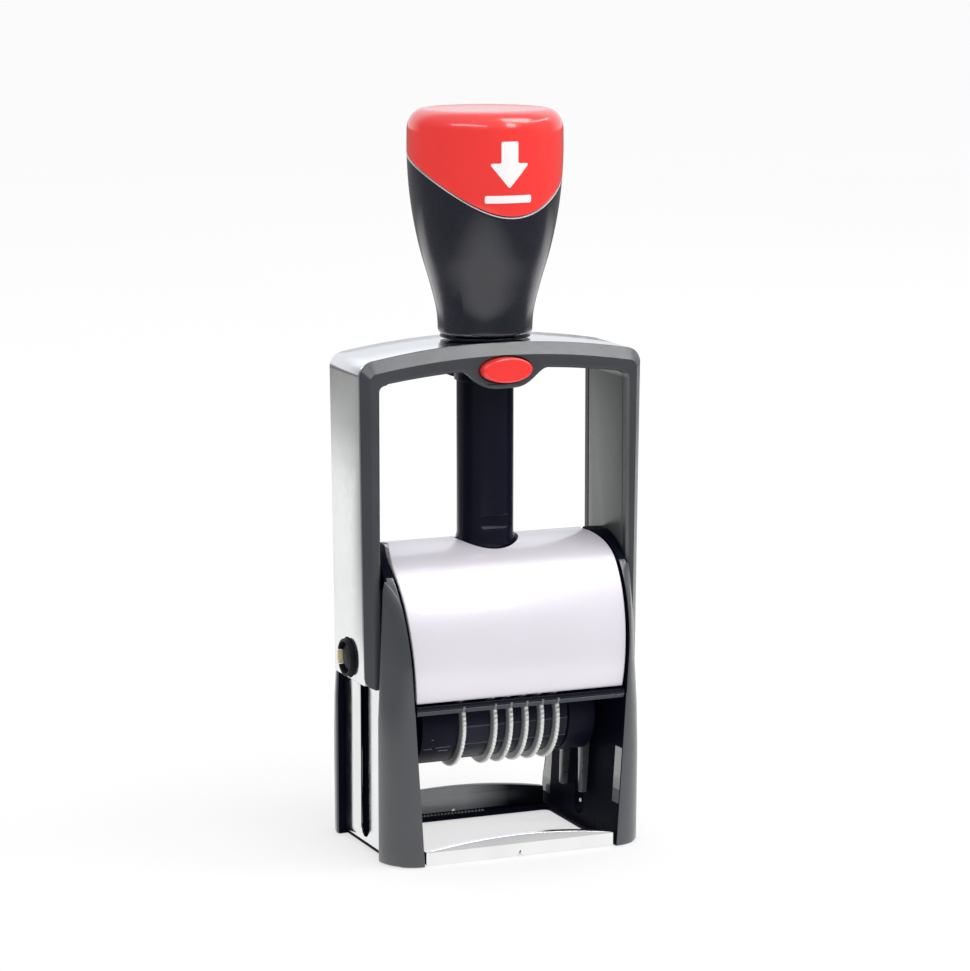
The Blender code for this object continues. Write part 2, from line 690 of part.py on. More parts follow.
def pivots():
    """Cross axle through both arms, with a cup bush, a domed cap and a clip at each end."""
    lathe("cross_axle", [(0.0, -29.6), (AXLE_R, -29.6), (AXLE_R, 29.6), (0.0, 29.6)], 24, "X",
          (0.0, AXLE_Z), STEEL)
    for side, word in ((-1, "left"), (1, "right")):
        bush = [(AXLE_R + GAP, 28.0), (BUSH_R, 28.0), (BUSH_R, BUSH_FACE_X),
                (BUSH_RIM_R, BUSH_FACE_X), (BUSH_RIM_R, BUSH_FLOOR_X), (AXLE_R + GAP, BUSH_FLOOR_X)]
        cup = lathe(word + "_pivot_bush", [(r, side * x) for r, x in bush], 24, "X",
                    (0.0, AXLE_Z), BLACK)
        notch_floor = BUSH_FLOOR_X + 0.2
        low, high = sorted((side * notch_floor, side * 33.0))
        notch = sector(BUSH_RIM_R - 0.1, BUSH_R + 1.0, CLIP_TURN + GAP / BUSH_RIM_R)
        cut(cup, prism(word + "_notch_cutter", notch, "X", low, high, BLACK))
        near = BUSH_FLOOR_X + GAP
        head = [(0.0, near), (AXLE_CAP_R, near), (AXLE_CAP_R, 30.9), (2.3, 31.4), (0.0, 31.6)]
        lathe(word + "_axle_cap", [(r, side * x) for r, x in head], 24, "X",
              (0.0, AXLE_Z), BLACK)
        low, high = sorted((side * (notch_floor + GAP), side * 32.2))
        prism(word + "_retaining_clip", sector(BUSH_RIM_R + 0.05, BUSH_R - 0.05, CLIP_TURN), "X",
              low, high, BRASS)


# ---- printing unit --------------------------------------------------------------------
def loop_outline(wheel_r, nose_r):
    """A band's way round its wheel and over the anvil's two edges."""
    points = circle(WHEEL_Y, WHEEL_Z, wheel_r, 28)
    for y in (-ANVIL_HALF_Y, ANVIL_HALF_Y):
        points += circle(y, ANVIL_Z, nose_r, 12)
    return hull(points)


def number_wheel(index, x, drum_end):
    """Thin setting disc with the drum that its rubber band runs on."""
    half = 0.5 * DISC_THICK
    profile = [(PIN_R + GAP, x - half), (DISC_R - 0.25, x - half), (DISC_R, x - half + 0.25),
               (DISC_R, x + half - 0.25), (DISC_R - 0.25, x + half), (DRUM_R, x + half),
               (DRUM_R, drum_end), (PIN_R + GAP, drum_end)]
    wheel = lathe(f"number_wheel_{index}", profile, 36, "X", (WHEEL_Y, WHEEL_Z), WHEEL)
    return place_origin(wheel, 0.0, WHEEL_Y, WHEEL_Z)


def number_band(index, low, high):
    band = prism(f"number_band_{index}", loop_outline(BAND_OUTER_R, 1.8), "X", low, high,
                 RUBBER, [loop_outline(BAND_INNER_R, 0.9)])
    return place_origin(band, 0.0, 0.0, AXLE_Z)


def end_block(name, low, high):
    """Housing at one end of the unit, with bores for the cross axle and wheel pin."""
    outline = hull(circle(WHEEL_Y, WHEEL_Z, 9.3, 28) + circle(-4.0, 45.6, 1.2, 8)
                   + circle(4.0, 45.6, 1.2, 8))
    bores = [circle(0.0, AXLE_Z, AXLE_R + GAP + 0.05, 24),
             circle(WHEEL_Y, WHEEL_Z, PIN_R + GAP + 0.05, 16)]
    block = prism(name, outline, "X", low, high, BLACK, bores)
    return place_origin(block, 0.0, 0.0, AXLE_Z)


def printing_unit():
    half = 0.5 * DISC_THICK
    for index, slot in enumerate(WHEEL_SLOTS, start=1):
        x = slot * WHEEL_PITCH
        following = WHEEL_SLOTS[index] if index < len(WHEEL_SLOTS) else slot + 1
        drum_end = following * WHEEL_PITCH - half - GAP
        number_wheel(index, x, drum_end)
        number_band(index, x + half + GAP, drum_end)
    first_x = WHEEL_SLOTS[0] * WHEEL_PITCH - half
    last_x = (WHEEL_SLOTS[-1] + 1) * WHEEL_PITCH - half - GAP
    end_block("left_end_block", -BLOCK_OUTER_X, first_x - GAP)
    end_block("right_end_block", last_x + GAP, BLOCK_OUTER_X)
    anvil = hull(circle(-ANVIL_HALF_Y, ANVIL_Z, 0.6, 8) + circle(ANVIL_HALF_Y, ANVIL_Z, 0.6, 8)
                 + [(-2.8, 45.6), (2.8, 45.6)])
    place_origin(prism("anvil", anvil, "X", first_x, last_x, STEEL), 0.0, 0.0, AXLE_Z)
    pin = [(0.0, -BLOCK_OUTER_X + 0.4), (PIN_R, -BLOCK_OUTER_X + 0.4),
           (PIN_R, BLOCK_OUTER_X - 0.4), (0.0, BLOCK_OUTER_X - 0.4)]
    place_origin(lathe("wheel_pin", pin, 16, "X", (WHEEL_Y, WHEEL_Z), STEEL), 0.0, 0.0, AXLE_Z)
    for side, word in ((-1, "left"), (1, "right")):
        near, far = CAM_PIN_X
        profile = [(0.0, near), (CAM_PIN_R, near), (CAM_PIN_R, far), (0.0, far)]
        cam_pin = lathe(word + "_cam_pin", [(r, side * x) for r, x in profile], 12, "X",
                        (-CRANK, AXLE_Z), STEEL)
        place_origin(cam_pin, 0.0, 0.0, AXLE_Z)


# ---- assembly -------------------------------------------------------------------------
for side, word in ((-1, "left"), (1, "right")):
    side_frame(side, word + "_side_frame")
    side_plate(side, word + "_side_plate")
    cam_ribs(side, word)
guide_bar("front_guide_bar", -BAR_FAR_Y, -BAR_NEAR_Y, FRONT_BAR_Z, STEEL)
guide_bar("rear_guide_bar", BAR_NEAR_Y, BAR_FAR_Y, REAR_BAR_Z, BLACK)
window_frame()
cover()
index_bar()
guide_post()
return_spring()
pad_shelf()
pad_tray()
stirrup()
trim("front_trim", -1)
trim("rear_trim", 1)
lock_button()
post_bushing()
handle()
handle_cap()
pivots()
printing_unit()
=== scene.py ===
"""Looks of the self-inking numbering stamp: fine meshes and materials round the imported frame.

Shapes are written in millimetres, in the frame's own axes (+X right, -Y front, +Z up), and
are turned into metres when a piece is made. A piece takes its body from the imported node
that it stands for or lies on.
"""

import json
import math

import bmesh
import bpy
from mathutils import Matrix, Vector
from mathutils.geometry import convex_hull_2d, tessellate_polygon


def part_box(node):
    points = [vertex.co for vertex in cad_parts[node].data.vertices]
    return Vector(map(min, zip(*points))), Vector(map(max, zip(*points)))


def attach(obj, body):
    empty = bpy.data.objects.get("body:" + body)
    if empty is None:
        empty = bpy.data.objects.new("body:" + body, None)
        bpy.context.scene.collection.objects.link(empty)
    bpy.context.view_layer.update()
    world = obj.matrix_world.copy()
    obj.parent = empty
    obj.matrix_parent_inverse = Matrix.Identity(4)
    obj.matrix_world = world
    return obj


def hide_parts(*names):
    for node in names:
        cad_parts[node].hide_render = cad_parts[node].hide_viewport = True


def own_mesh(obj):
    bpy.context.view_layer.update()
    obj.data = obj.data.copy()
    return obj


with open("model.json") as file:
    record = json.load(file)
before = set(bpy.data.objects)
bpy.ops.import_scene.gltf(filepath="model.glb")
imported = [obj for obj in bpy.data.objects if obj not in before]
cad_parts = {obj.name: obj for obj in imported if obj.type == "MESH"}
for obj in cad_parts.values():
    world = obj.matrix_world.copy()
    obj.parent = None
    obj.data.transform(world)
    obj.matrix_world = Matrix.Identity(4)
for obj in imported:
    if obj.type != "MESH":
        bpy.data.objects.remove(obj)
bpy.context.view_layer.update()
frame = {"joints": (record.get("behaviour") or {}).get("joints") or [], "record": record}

MM = 0.001


def span(node, axis):
    """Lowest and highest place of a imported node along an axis, in millimetres."""
    low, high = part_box(node)
    index = "XYZ".index(axis)
    return low[index] / MM, high[index] / MM


# ---- taken from the frame ----
BODIES = frame["record"]["behaviour"]["bodies"]
NODE_BODY = {node: body for body, nodes in BODIES.items() for node in nodes}
AXLE_Z = sum(span("cross_axle", "Z")) / 2
TRAVEL = next(j for j in frame["joints"] if j["name"] == "press_slide")["range_m"][1] / MM
WHEEL_Y = sum(span("number_wheel_1", "Y")) / 2
WHEEL_Z = sum(span("number_wheel_1", "Z")) / 2
DISC_R = (span("number_wheel_1", "Z")[1] - span("number_wheel_1", "Z")[0]) / 2
CAP_TOP = span("handle_cap", "Z")[1]
HANDLE_BOTTOM = span("handle", "Z")[0]
ARM_BOTTOM_Z = span("stirrup", "Z")[0]
STEEL_Y = span("stirrup", "Y")[1]
TRIM_BACK_Y, TRIM_Y = span("rear_trim", "Y")
POST_TOP = span("guide_post", "Z")[1]
BUTTON_FRONT = span("lock_button", "Y")[0]
BUTTON_Z = sum(span("lock_button", "Z")) / 2
BUTTON_A = span("lock_button", "X")[1]
BUTTON_B = span("lock_button", "Z")[1] - BUTTON_Z
AXLE, WHEEL_AT, MIDDLE = (0.0, AXLE_Z), (WHEEL_Y, WHEEL_Z), (0.0, 0.0)

# ---- sizes that shape the surfaces ----
GAP = 0.3
RIM_CENTRE_Z, RIM_RISE, RIM_DEPTH = 40.0, 25.0, 20.0
RIM_TOP_Z = RIM_CENTRE_Z + RIM_RISE
WALL_X, WALL_LEAN = 21.65, 0.063
CREST_Z, CREST_CURL = 60.3, 3.0
FRONT_LEAD_IN, REAR_LEAD_IN = 3.4, 4.7
# a painted sheen patch's lowest place, where it turns from rib grey to its sheen, its highest
# place, and its two distances from the rim
FRONT_PATCH, REAR_PATCH = (9.0, 12.0, 21.0, 0.3, FRONT_LEAD_IN), (3.0, 6.0, 39.0, 1.5, REAR_LEAD_IN)
COVER_DEPTH = 19.4
WING_Y, CHANNEL_X = 12.1, 26.8
CHANNEL_TOP_Z, CHANNEL_FADE = 58.0, 2.5
CAM_RIB_X = 20.5
CRANK = 4.0
SLOT_HALF, SLOT_LOW, SLOT_HIGH = 2.4, 4.6, AXLE_Z + 2.0
BRIDGE_TOP_Z, BRIDGE_DROP, BRIDGE_HALF = 107.2, 2.55, 29.0
BRIDGE_LOW_Z, BRIDGE_LOW_DROP = 101.9, 2.2
ARM_INNER_X = 27.84
ARM_LOW_X, ARM_HIGH_X, ARM_LOW_Z, ARM_HIGH_Z = 30.85, 31.65, 36.75, 104.0
CORNER_R = 3.4
STRAP_THICK = 1.6
BOSS_HALF, BOSS_DROP, BOSS_FULLNESS = 9.8, 4.2, 1.8
POST_R = 6.0
CAP_FLAT_R, CAP_SHOULDER_Z, CAP_CORE_Z = 12.7, 150.5, 151.3
HANDLE_PROFILE = ((108.2, 9.85), (113.0, 10.2), (118.8, 11.6), (125.5, 13.55), (132.2, 15.0),
                  (138.8, 15.9), (145.5, 16.3), (150.5, 16.3))
CAP_WAVE = (142.73, 6.88, 1.58, 0.47)
WHEEL_PITCH, WHEEL_HALF = 3.55, 0.5
WHEEL_SLOTS = (-3, -1, 0, 1, 2, 3)
BAND_R = 9.0
ANVIL_HALF_Y, ANVIL_Z = 2.2, 48.3
CLIP_TURN = -0.14

# ---- studio ----
AMBIENT = 0.9
GLOSS_DIM, GLOSS_BRIGHT, GLOSS_ABOVE = 0.2, 0.95, 0.9
FLOOR_TONE, FLOOR_GLOW = 0.42, 0.58
VIEW_AHEAD, VIEW_LEFT = (0.3875, 0.9219, 0.0), (-0.9219, 0.3875, 0.0)
WHITE = (1.0, 1.0, 1.0, 1.0)


# ---- materials ----
class Nodes:
    """Adds shader nodes to a material or world, each linked and set in one call."""

    def __init__(self, owner):
        owner.use_nodes = True
        self.owner = owner
        self.tree = owner.node_tree
        self.shader = self.tree.nodes.get("Principled BSDF")

    def add(self, kind, inputs=None, output=0, **settings):
        """A new node's output; its inputs are linked from sockets or set to values."""
        node = self.tree.nodes.new("ShaderNode" + kind)
        for key, value in settings.items():
            setattr(node, key, value)
        for key, value in (inputs or {}).items():
            if isinstance(value, bpy.types.NodeSocket):
                self.tree.links.new(value, node.inputs[key])
            else:
                node.inputs[key].default_value = value
        return node.outputs[output] if node.outputs else None

    def place(self, scale=(1.0, 1.0, 1.0)):
        """Object coordinates, stretched by a scale for each axis."""
        at = self.add("TexCoord", output="Object")
        return self.add("Mapping", {"Vector": at, "Scale": scale})

    def noise(self, scale, detail=3.0, rough=0.55, vector=None):
        return self.add("TexNoise", {"Vector": vector or self.place(), "Scale": scale,
                                     "Detail": detail, "Roughness": rough}, "Fac")

    def ramp(self, value, low, high, out_low=0.0, out_high=1.0):
        return self.add("MapRange", {"Value": value, "From Min": low, "From Max": high,
                                     "To Min": out_low, "To Max": out_high}, "Result")

    def maths(self, operation, first, second):
        return self.add("Math", {0: first, 1: second}, operation=operation)

    def measure(self, operation, *vectors):
        """A number from one or two vectors."""
        return self.add("VectorMath", dict(enumerate(vectors)), "Value", operation=operation)

    def blend(self, share, first, second):
        return self.add("Mix", {0: share, 6: (*first, 1.0), 7: (*second, 1.0)}, 2,
                        data_type="RGBA")

    def bump(self, height, depth_mm, strength=1.0):
        return self.add("Bump", {"Height": height, "Distance": depth_mm * MM,
                                 "Strength": strength})

    def glossy_mix(self, plain, seen_in_gloss):
        """One shader for all light but reflections, and another for reflections."""
        path = self.add("LightPath", output="Is Glossy Ray")
        return self.add("MixShader", {0: path, 1: plain, 2: seen_in_gloss})

    def set(self, **inputs):
        """Shader inputs by name, with underscores for spaces: sockets link, values are set."""
        for key, value in inputs.items():
            socket = self.shader.inputs[key.replace("_", " ")]
            if isinstance(value, bpy.types.NodeSocket):
                self.tree.links.new(value, socket)
            elif isinstance(value, tuple):
                socket.default_value = (*value, 1.0)
            else:
                socket.default_value = value
        return self.owner


def surface(name):
    return Nodes(bpy.data.materials.new(name))


def tinted(colour, factor):
    return tuple(min(1.0, c * factor) for c in colour)


def cloudy(n, noise, colour, dark, light, low=0.3, high=0.7):
    """Colour that wanders between a darker and a lighter tint with a noise."""
    return n.blend(n.ramp(noise, low, high), tinted(colour, dark), tinted(colour, light))


def moulded(name, colour, rough, grain_mm=0.25, depth_mm=0.004, spread=0.12, coat=0.0,
            specular=0.5):
    """Moulded plastic: fine grain, faint flow marks and slightly uneven gloss."""
    n = surface(name)
    grain = n.noise(1.0 / (grain_mm * MM), 2.0)
    speck = n.noise(1.0 / (1.3 * MM), 3.0, 0.7)
    base = cloudy(n, n.noise(70.0, 4.0, 0.6), colour, 1.0 - spread, 1.0 + spread)
    gloss = n.ramp(speck, 0.3, 0.75, rough * 0.85, rough * 1.2)
    return n.set(Base_Color=base, Roughness=gloss, Normal=n.bump(grain, depth_mm),
                 Specular_IOR_Level=specular, Coat_Weight=coat, Coat_Roughness=0.08)


def polished_steel(name, colour, rough, along, depth_mm=0.0006, metal=1.0):
    """Plated metal with faint polishing lines along one axis and cloudy gloss."""
    n = surface(name)
    fine, coarse = 1.0 / (0.06 * MM), 60.0
    lines = n.noise(1.0, 2.0, 0.5, n.place(tuple(coarse if axis == along else fine
                                                 for axis in "XYZ")))
    smear = n.noise(1.0 / (2.2 * MM), 4.0, 0.65)
    base = cloudy(n, n.noise(55.0, 4.0, 0.55), colour, 0.93, 1.04)
    gloss = n.ramp(smear, 0.35, 0.8, rough * 0.8, rough * 1.35)
    return n.set(Base_Color=base, Roughness=gloss, Metallic=metal, Normal=n.bump(lines, depth_mm))


def painted_reflection_bar(name, near, far, from_x, to_x):
    """Black moulding with a painted reflection: grey at its left, fading to clean black."""
    n = surface(name)
    x = n.add("SeparateXYZ", {0: n.add("TexCoord", output="Object")}, "X")
    share = n.ramp(x, from_x * MM, to_x * MM)
    grain = n.noise(1.0 / (0.4 * MM), 2.0)
    return n.set(Base_Color=n.blend(share, near, far), Normal=n.bump(grain, 0.001),
                 Roughness=n.ramp(grain, 0.3, 0.7, 0.28, 0.4))


def lacquer(name, colour, rough):
    """Silver-white lacquer: fine metallic flake under a clear coat, with a faint orange peel."""
    n = surface(name)
    flake = n.add("TexVoronoi", {"Vector": n.place(), "Scale": 1.0 / (0.12 * MM)}, "Distance")
    peel = n.noise(1.0 / (1.6 * MM), 2.0, 0.4)
    base = cloudy(n, n.noise(45.0, 3.0), colour, 0.97, 1.02)
    gloss = n.ramp(flake, 0.0, 0.7, rough * 0.85, rough * 1.15)
    return n.set(Base_Color=base, Roughness=gloss, Metallic=0.1, Normal=n.bump(peel, 0.0012, 0.5),
                 Coat_Weight=0.9, Coat_Roughness=0.05)


def felt(name, colour):
    """Inked felt: tangled fibres, with drier and wetter patches."""
    n = surface(name)
    fibre = n.noise(1.0 / (0.18 * MM), 6.0, 0.75)
    wet = n.noise(1.0 / (4.0 * MM), 3.0)
    return n.set(Base_Color=cloudy(n, fibre, colour, 0.5, 1.8, 0.3, 0.75), Sheen_Weight=0.3,
                 Roughness=n.ramp(wet, 0.35, 0.65, 0.35, 0.95), Normal=n.bump(fibre, 0.08))


BLACK = moulded("gloss_black_plastic", (0.0035, 0.0042, 0.012), 0.2, 0.35, 0.001, 0.3, 0.0, 0.3)
# grey for painted glints on the cam ribs and the lower ends of the painted sheen patches
RIB = moulded("rib_grey_painted_glint", (0.085, 0.09, 0.1), 0.3, 0.3, 0.002, 0.5, 0.5)
# near-black plastic, also used as painted shade on the inner walls, rim edges and in the button
# opening
DEEP = moulded("black_plastic_and_painted_shade", (0.003, 0.0036, 0.009), 0.5, 0.3, 0.001, 0.3, 0.0, 0.02)
HANDLE = moulded("handle_plastic", (0.006, 0.007, 0.016), 0.25, 0.5, 0.001, 0.3, 0.8)
GREY = moulded("textured_grey_plastic", (0.047, 0.051, 0.058), 0.4, 0.16, 0.012, 0.08, 0.6)
TRIM = moulded("trim_grey_plastic", (0.043, 0.047, 0.055), 0.4, 0.16, 0.012, 0.08)
# lighter grey for the trims' bevels where they face the lamps: painted light
BEVEL = moulded("speckled_grey_bevel_painted_light", (0.105, 0.11, 0.113), 0.33, 0.2, 0.02, 0.15)
# pale grey for the handle's shoulder rim: a painted highlight line
EDGE = moulded("grey_edge_painted_highlight", (0.5, 0.52, 0.54), 0.3, 0.3, 0.002, 0.3)
SHEEN = moulded("wall_plastic_painted_sheen", (0.27, 0.285, 0.28), 0.25, 0.3, 0.001, 0.25, 0.5)
# rear bar's front: a painted reflection, grey on the left fading to black
REAR = painted_reflection_bar("black_plastic_painted_reflection", (0.42, 0.44, 0.46), (0.006, 0.007, 0.013), 3.0, 13.0)
BLOCK = moulded("navy_black_plastic", (0.0042, 0.005, 0.015), 0.4, 0.35, 0.001, 0.3, 0.0, 0.1)
ROUGH_BLACK = moulded("grained_black_plastic", (0.007, 0.007, 0.011), 0.5, 0.35, 0.09, 0.3,
                      0.0, 0.15)
LINER = moulded("liner_grey_plastic", (0.072, 0.076, 0.075), 0.22, 0.3, 0.001, 0.08)
RED = moulded("gloss_red_plastic", (0.88, 0.034, 0.03), 0.2, 0.6, 0.0002, 0.04, 0.6)
WHITE_INK = moulded("white_print", (0.9, 0.86, 0.86), 0.4, 0.12, 0.001, 0.03)
# darker grey for the wheels' side faces: painted shade
WHEEL = moulded("wheel_plastic", (0.29, 0.3, 0.3), 0.35, 0.2, 0.002, 0.06)
RIM = moulded("wheel_rim_plastic", (0.8, 0.8, 0.79), 0.25, 0.2, 0.001, 0.04)
RUBBER = moulded("band_rubber", (0.006, 0.0068, 0.018), 0.3, 0.15, 0.002, 0.3, 0.0, 0.2)
GROOVE = moulded("band_groove_painted_glint", (0.07, 0.075, 0.1), 0.4, 0.15, 0.002, 0.3)
TICK = moulded("index_mark_paint", (0.15, 0.155, 0.18), 0.5, 0.12, 0.002, 0.1)
BAR_LOW = moulded("index_bar_bevel", (0.035, 0.038, 0.052), 0.3, 0.3, 0.001, 0.2, 0.0, 0.4)
STRAP = polished_steel("strap_steel", (0.83, 0.835, 0.84), 0.16, "Z")
BAR = polished_steel("bar_steel", (0.9, 0.9, 0.905), 0.2, "X")
PIN = polished_steel("turned_steel", (0.6, 0.61, 0.62), 0.25, "X")
SPRING = polished_steel("spring_wire", (0.55, 0.56, 0.57), 0.3, "Z")
BRASS = polished_steel("brass_clip", (0.96, 0.88, 0.52), 0.35, "X", metal=0.3)
COVER = lacquer("silver_lacquer", (0.755, 0.725, 0.79), 0.3)
# paler lacquer for the hood's edges: painted highlight lines
COVER_EDGE = lacquer("silver_lacquer_painted_highlight", (0.95, 0.95, 0.97), 0.3)
FELT = felt("inked_felt", (0.02, 0.02, 0.035))


# ---- mesh tools ----
def placed(name, data):
    """A new object in the scene."""
    made = bpy.data.objects.new(name, data)
    bpy.context.scene.collection.objects.link(made)
    return made


def mesh_object(name, verts, faces):
    """A closed mesh in the scene, from points in millimetres."""
    mesh = bpy.data.meshes.new(name)
    mesh.from_pydata([Vector(v) * MM for v in verts], [], faces)
    bm = bmesh.new()
    bm.from_mesh(mesh)
    bmesh.ops.remove_doubles(bm, verts=bm.verts, dist=1e-7)
    bmesh.ops.recalc_face_normals(bm, faces=bm.faces)
    bm.to_mesh(mesh)
    bm.free()
    return placed(name, mesh)


def dress(made, sharp, choose):
    """Smooth shading with sharp edges by angle; choose gives a face its look's number, or
    whether it has the second look."""
    mesh = made.data
    mesh.shade_smooth()
    mesh.set_sharp_from_angle(angle=math.radians(sharp))
    if choose:
        for face in mesh.polygons:
            face.material_index = int(choose(face.center / MM, face.normal))


def piece(name, shape, looks, sharp=32.0, choose=None, on=None):
    """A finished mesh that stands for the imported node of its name, or lies on another one."""
    made = mesh_object(name if on else "fine_" + name, *shape)
    for look in looks if isinstance(looks, list) else [looks]:
        made.data.materials.append(look)
    dress(made, sharp, choose)
    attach(made, NODE_BODY[on or name])
    if not on:
        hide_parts(name)
    return made


def carve(made, shapes, sharp=32.0, choose=None):
    """Cut closed shapes out of a finished piece for good."""
    cutters = [mesh_object("cutter", *shape) for shape in shapes]
    for cutter in cutters:
        tool = made.modifiers.new("carve", "BOOLEAN")
        tool.operation = "DIFFERENCE"
        tool.solver = "EXACT"
        tool.object = cutter
    bpy.context.view_layer.update()
    result = bpy.data.meshes.new_from_object(
        made.evaluated_get(bpy.context.evaluated_depsgraph_get()))
    made.modifiers.clear()
    made.data = result
    for cutter in cutters:
        bpy.data.objects.remove(cutter, do_unlink=True)
    dress(made, sharp, choose)


def on_axis(axis, a, b, along):
    """A point from its place along an axis and its two other places, in their own order."""
    return {"X": (along, a, b), "Y": (a, along, b), "Z": (a, b, along)}[axis]


def arc(centre_a, centre_b, radius, steps, first=0.0, last=math.tau, radius_b=None):
    """Points on an arc or an ellipse's arc; a full turn leaves out the repeated point."""
    full = abs(last - first) >= math.tau - 1e-6
    other = radius if radius_b is None else radius_b
    return [(centre_a + radius * math.cos(first + (last - first) * i / steps),
             centre_b + other * math.sin(first + (last - first) * i / steps))
            for i in range(steps if full else steps + 1)]


def box(half_a, low_b, high_b):
    return [(-half_a, low_b), (half_a, low_b), (half_a, high_b), (-half_a, high_b)]


def edges_of(points):
    """Each point of a closed outline with the one after it."""
    return zip(points, points[1:] + points[:1])


def hull(points):
    """Convex outline of flat points, as a rubber loop would lie round them."""
    flat = [Vector(p) for p in points]
    return [tuple(flat[i]) for i in convex_hull_2d(flat)]


def mirrored(points):
    return [(-a, b) for a, b in reversed(points)]


def turned(points, left):
    """The outline, running anticlockwise if left is true."""
    points = list(points)
    area = 0.5 * sum(p[0] * q[1] - q[0] * p[1] for p, q in edges_of(points))
    return points if (area > 0) == left else points[::-1]


def inset(points, distance):
    """Outline moved to its left by a distance, with mitred corners."""
    result = []
    for i in range(len(points)):
        here = Vector(points[i])
        before = (here - Vector(points[i - 1])).normalized()
        after = (Vector(points[(i + 1) % len(points)]) - here).normalized()
        normal = Vector((-before.y, before.x)) + Vector((-after.y, after.x))
        length = max(normal.length_squared, 0.4)
        result.append(tuple(here + normal * (2.0 * distance / length)))
    return result


def pulled(start, corner, end, share):
    """Point at a share of the way from start to end on a curve pulled towards a corner."""
    return start.lerp(corner, share).lerp(corner.lerp(end, share), share)


def fillet(points, radius, steps=5, keep=lambda point: False, smooth_angle=16.0):
    """Round an outline's corners; corners flatter than smooth_angle degrees stay."""
    result = []
    for i in range(len(points)):
        here = Vector(points[i])
        back = Vector(points[i - 1]) - here
        ahead = Vector(points[(i + 1) % len(points)]) - here
        turn = math.pi - back.angle(ahead)
        if keep(points[i]) or turn < math.radians(smooth_angle):
            result.append(tuple(here))
            continue
        reach = min(radius * math.tan(turn / 2), 0.48 * back.length, 0.48 * ahead.length)
        start, end = here + back.normalized() * reach, here + ahead.normalized() * reach
        result += [tuple(pulled(start, here, end, k / steps)) for k in range(steps + 1)]
    return result


def stack_faces(size, count):
    """Quads between levels of equally many points."""
    return [(a + i, a + (i + 1) % size, a + (i + 1) % size + size, a + i + size)
            for a in range(0, (count - 1) * size, size) for i in range(size)]


def stacked(axis, sections):
    """Closed shape through flat outlines of equally many points, each at its own place."""
    size = len(sections[0][1])
    verts = [on_axis(axis, a, b, at) for at, outline in sections for a, b in outline]
    faces = stack_faces(size, len(sections))
    for level in (0, len(sections) - 1):
        flat = [Vector((a, b, 0.0)) for a, b in sections[level][1]]
        faces += [tuple(level * size + i for i in face) for face in tessellate_polygon([flat])]
    return verts, faces


def tube(rings):
    """Closed shape through rings of equally many points, with a flat face at each end."""
    size, last = len(rings[0]), (len(rings) - 1) * len(rings[0])
    return ([point for ring in rings for point in ring],
            stack_faces(size, len(rings)) + [tuple(range(size)), tuple(range(last, last + size))])


def joined(shapes):
    verts, faces = [], []
    for more_verts, more_faces in shapes:
        faces += [tuple(index + len(verts) for index in face) for face in more_faces]
        verts += more_verts
    return verts, faces


def slab_shape(loops, axis, low, high, edge=0.0, steps=3):
    """Extruded outline with holes and rounded rims; low and high are places or functions."""
    loops = [turned(loops[0], True)] + [turned(hole, False) for hole in loops[1:]]
    low_at = low if callable(low) else lambda a, b: low
    high_at = high if callable(high) else lambda a, b: high
    turns = [0.5 * math.pi * k / steps for k in range(steps + 1)] if edge > 0.0 else [0.0]
    rim = [(edge * (1.0 - math.sin(turn)), edge * (1.0 - math.cos(turn))) for turn in turns]
    rows = [(inward, low_at, rise) for inward, rise in rim]
    rows += [(inward, high_at, -rise) for inward, rise in reversed(rim)]

    def moved(loop, inward):
        return inset(loop, inward) if inward > 1e-9 else loop

    verts = [on_axis(axis, a, b, at(a0, b0) + step) for inward, at, step in rows
             for loop in loops for (a, b), (a0, b0) in zip(moved(loop, inward), loop)]
    faces, count = [], sum(len(loop) for loop in loops)
    for base in range(0, len(verts) - count, count):
        for loop in loops:
            for i in range(len(loop)):
                a, b = base + i, base + (i + 1) % len(loop)
                faces.append((a, b, b + count, a + count))
            base += len(loop)
    for level, row in ((0, rows[0]), (len(verts) - count, rows[-1])):
        flat = [[Vector((*point, 0.0)) for point in moved(loop, row[0])] for loop in loops]
        faces += [tuple(level + index for index in face) for face in tessellate_polygon(flat)]
    return verts, faces


def slab(name, loops, axis, low, high, looks, edge=0.25, steps=3, **more):
    return piece(name, slab_shape(loops, axis, low, high, edge, steps), looks, **more)


def bored(outline, axis, low, high):
    """Straight-sided shape for carve; low and high may come in either order."""
    return slab_shape([outline], axis, *sorted((low, high)))


def ring_shape(rings):
    """Closed shape round and back through rings of points; a ring of one point is a centre."""
    verts, numbers, faces = [], [], []
    count = max(len(ring) for ring in rings)
    for ring in rings:
        first = len(verts)
        numbers.append([first] * count if len(ring) == 1 else list(range(first, first + count)))
        verts += ring
    for ring, after in edges_of(numbers):
        for i in range(count):
            j = (i + 1) % count
            corners = list(dict.fromkeys((ring[i], ring[j], after[j], after[i])))
            if len(corners) > 2:
                faces.append(tuple(corners))
    return verts, faces


def lathe_shape(profile, segments, axis, centre, wave=None):
    """A closed profile of (radius, height) turned about an axis."""
    rings = []
    for radius, height in profile:
        ring = [centre] if radius <= 1e-6 else []
        for i in range(0 if ring else segments):
            turn = math.tau * i / segments
            r = radius + (wave(radius, height, turn) if wave else 0.0)
            ring.append((centre[0] + r * math.cos(turn), centre[1] + r * math.sin(turn)))
        rings.append([on_axis(axis, a, b, height) for a, b in ring])
    return ring_shape(rings)


def lathe(name, profile, axis, centre, looks, segments=96, edge=0.0, wave=None, **more):
    if edge:
        profile = fillet(profile, edge, 4, keep=lambda point: point[0] <= 1e-6)
    return piece(name, lathe_shape(profile, segments, axis, centre, wave), looks, **more)


def drill(radius, low, high):
    """Upright round shape for carve, on the stamp's middle line."""
    profile = [(0.0, high), (radius, high), (radius, low), (0.0, low)]
    return lathe_shape(profile, 96, "Z", MIDDLE)


def rod(name, radius, centre, edge):
    """Turned pin along X, as long as its node."""
    near, far = span(name, "X")
    profile = [(0.0, near), (radius, near), (radius, far), (0.0, far)]
    lathe(name, profile, "X", centre, PIN, 48, edge)


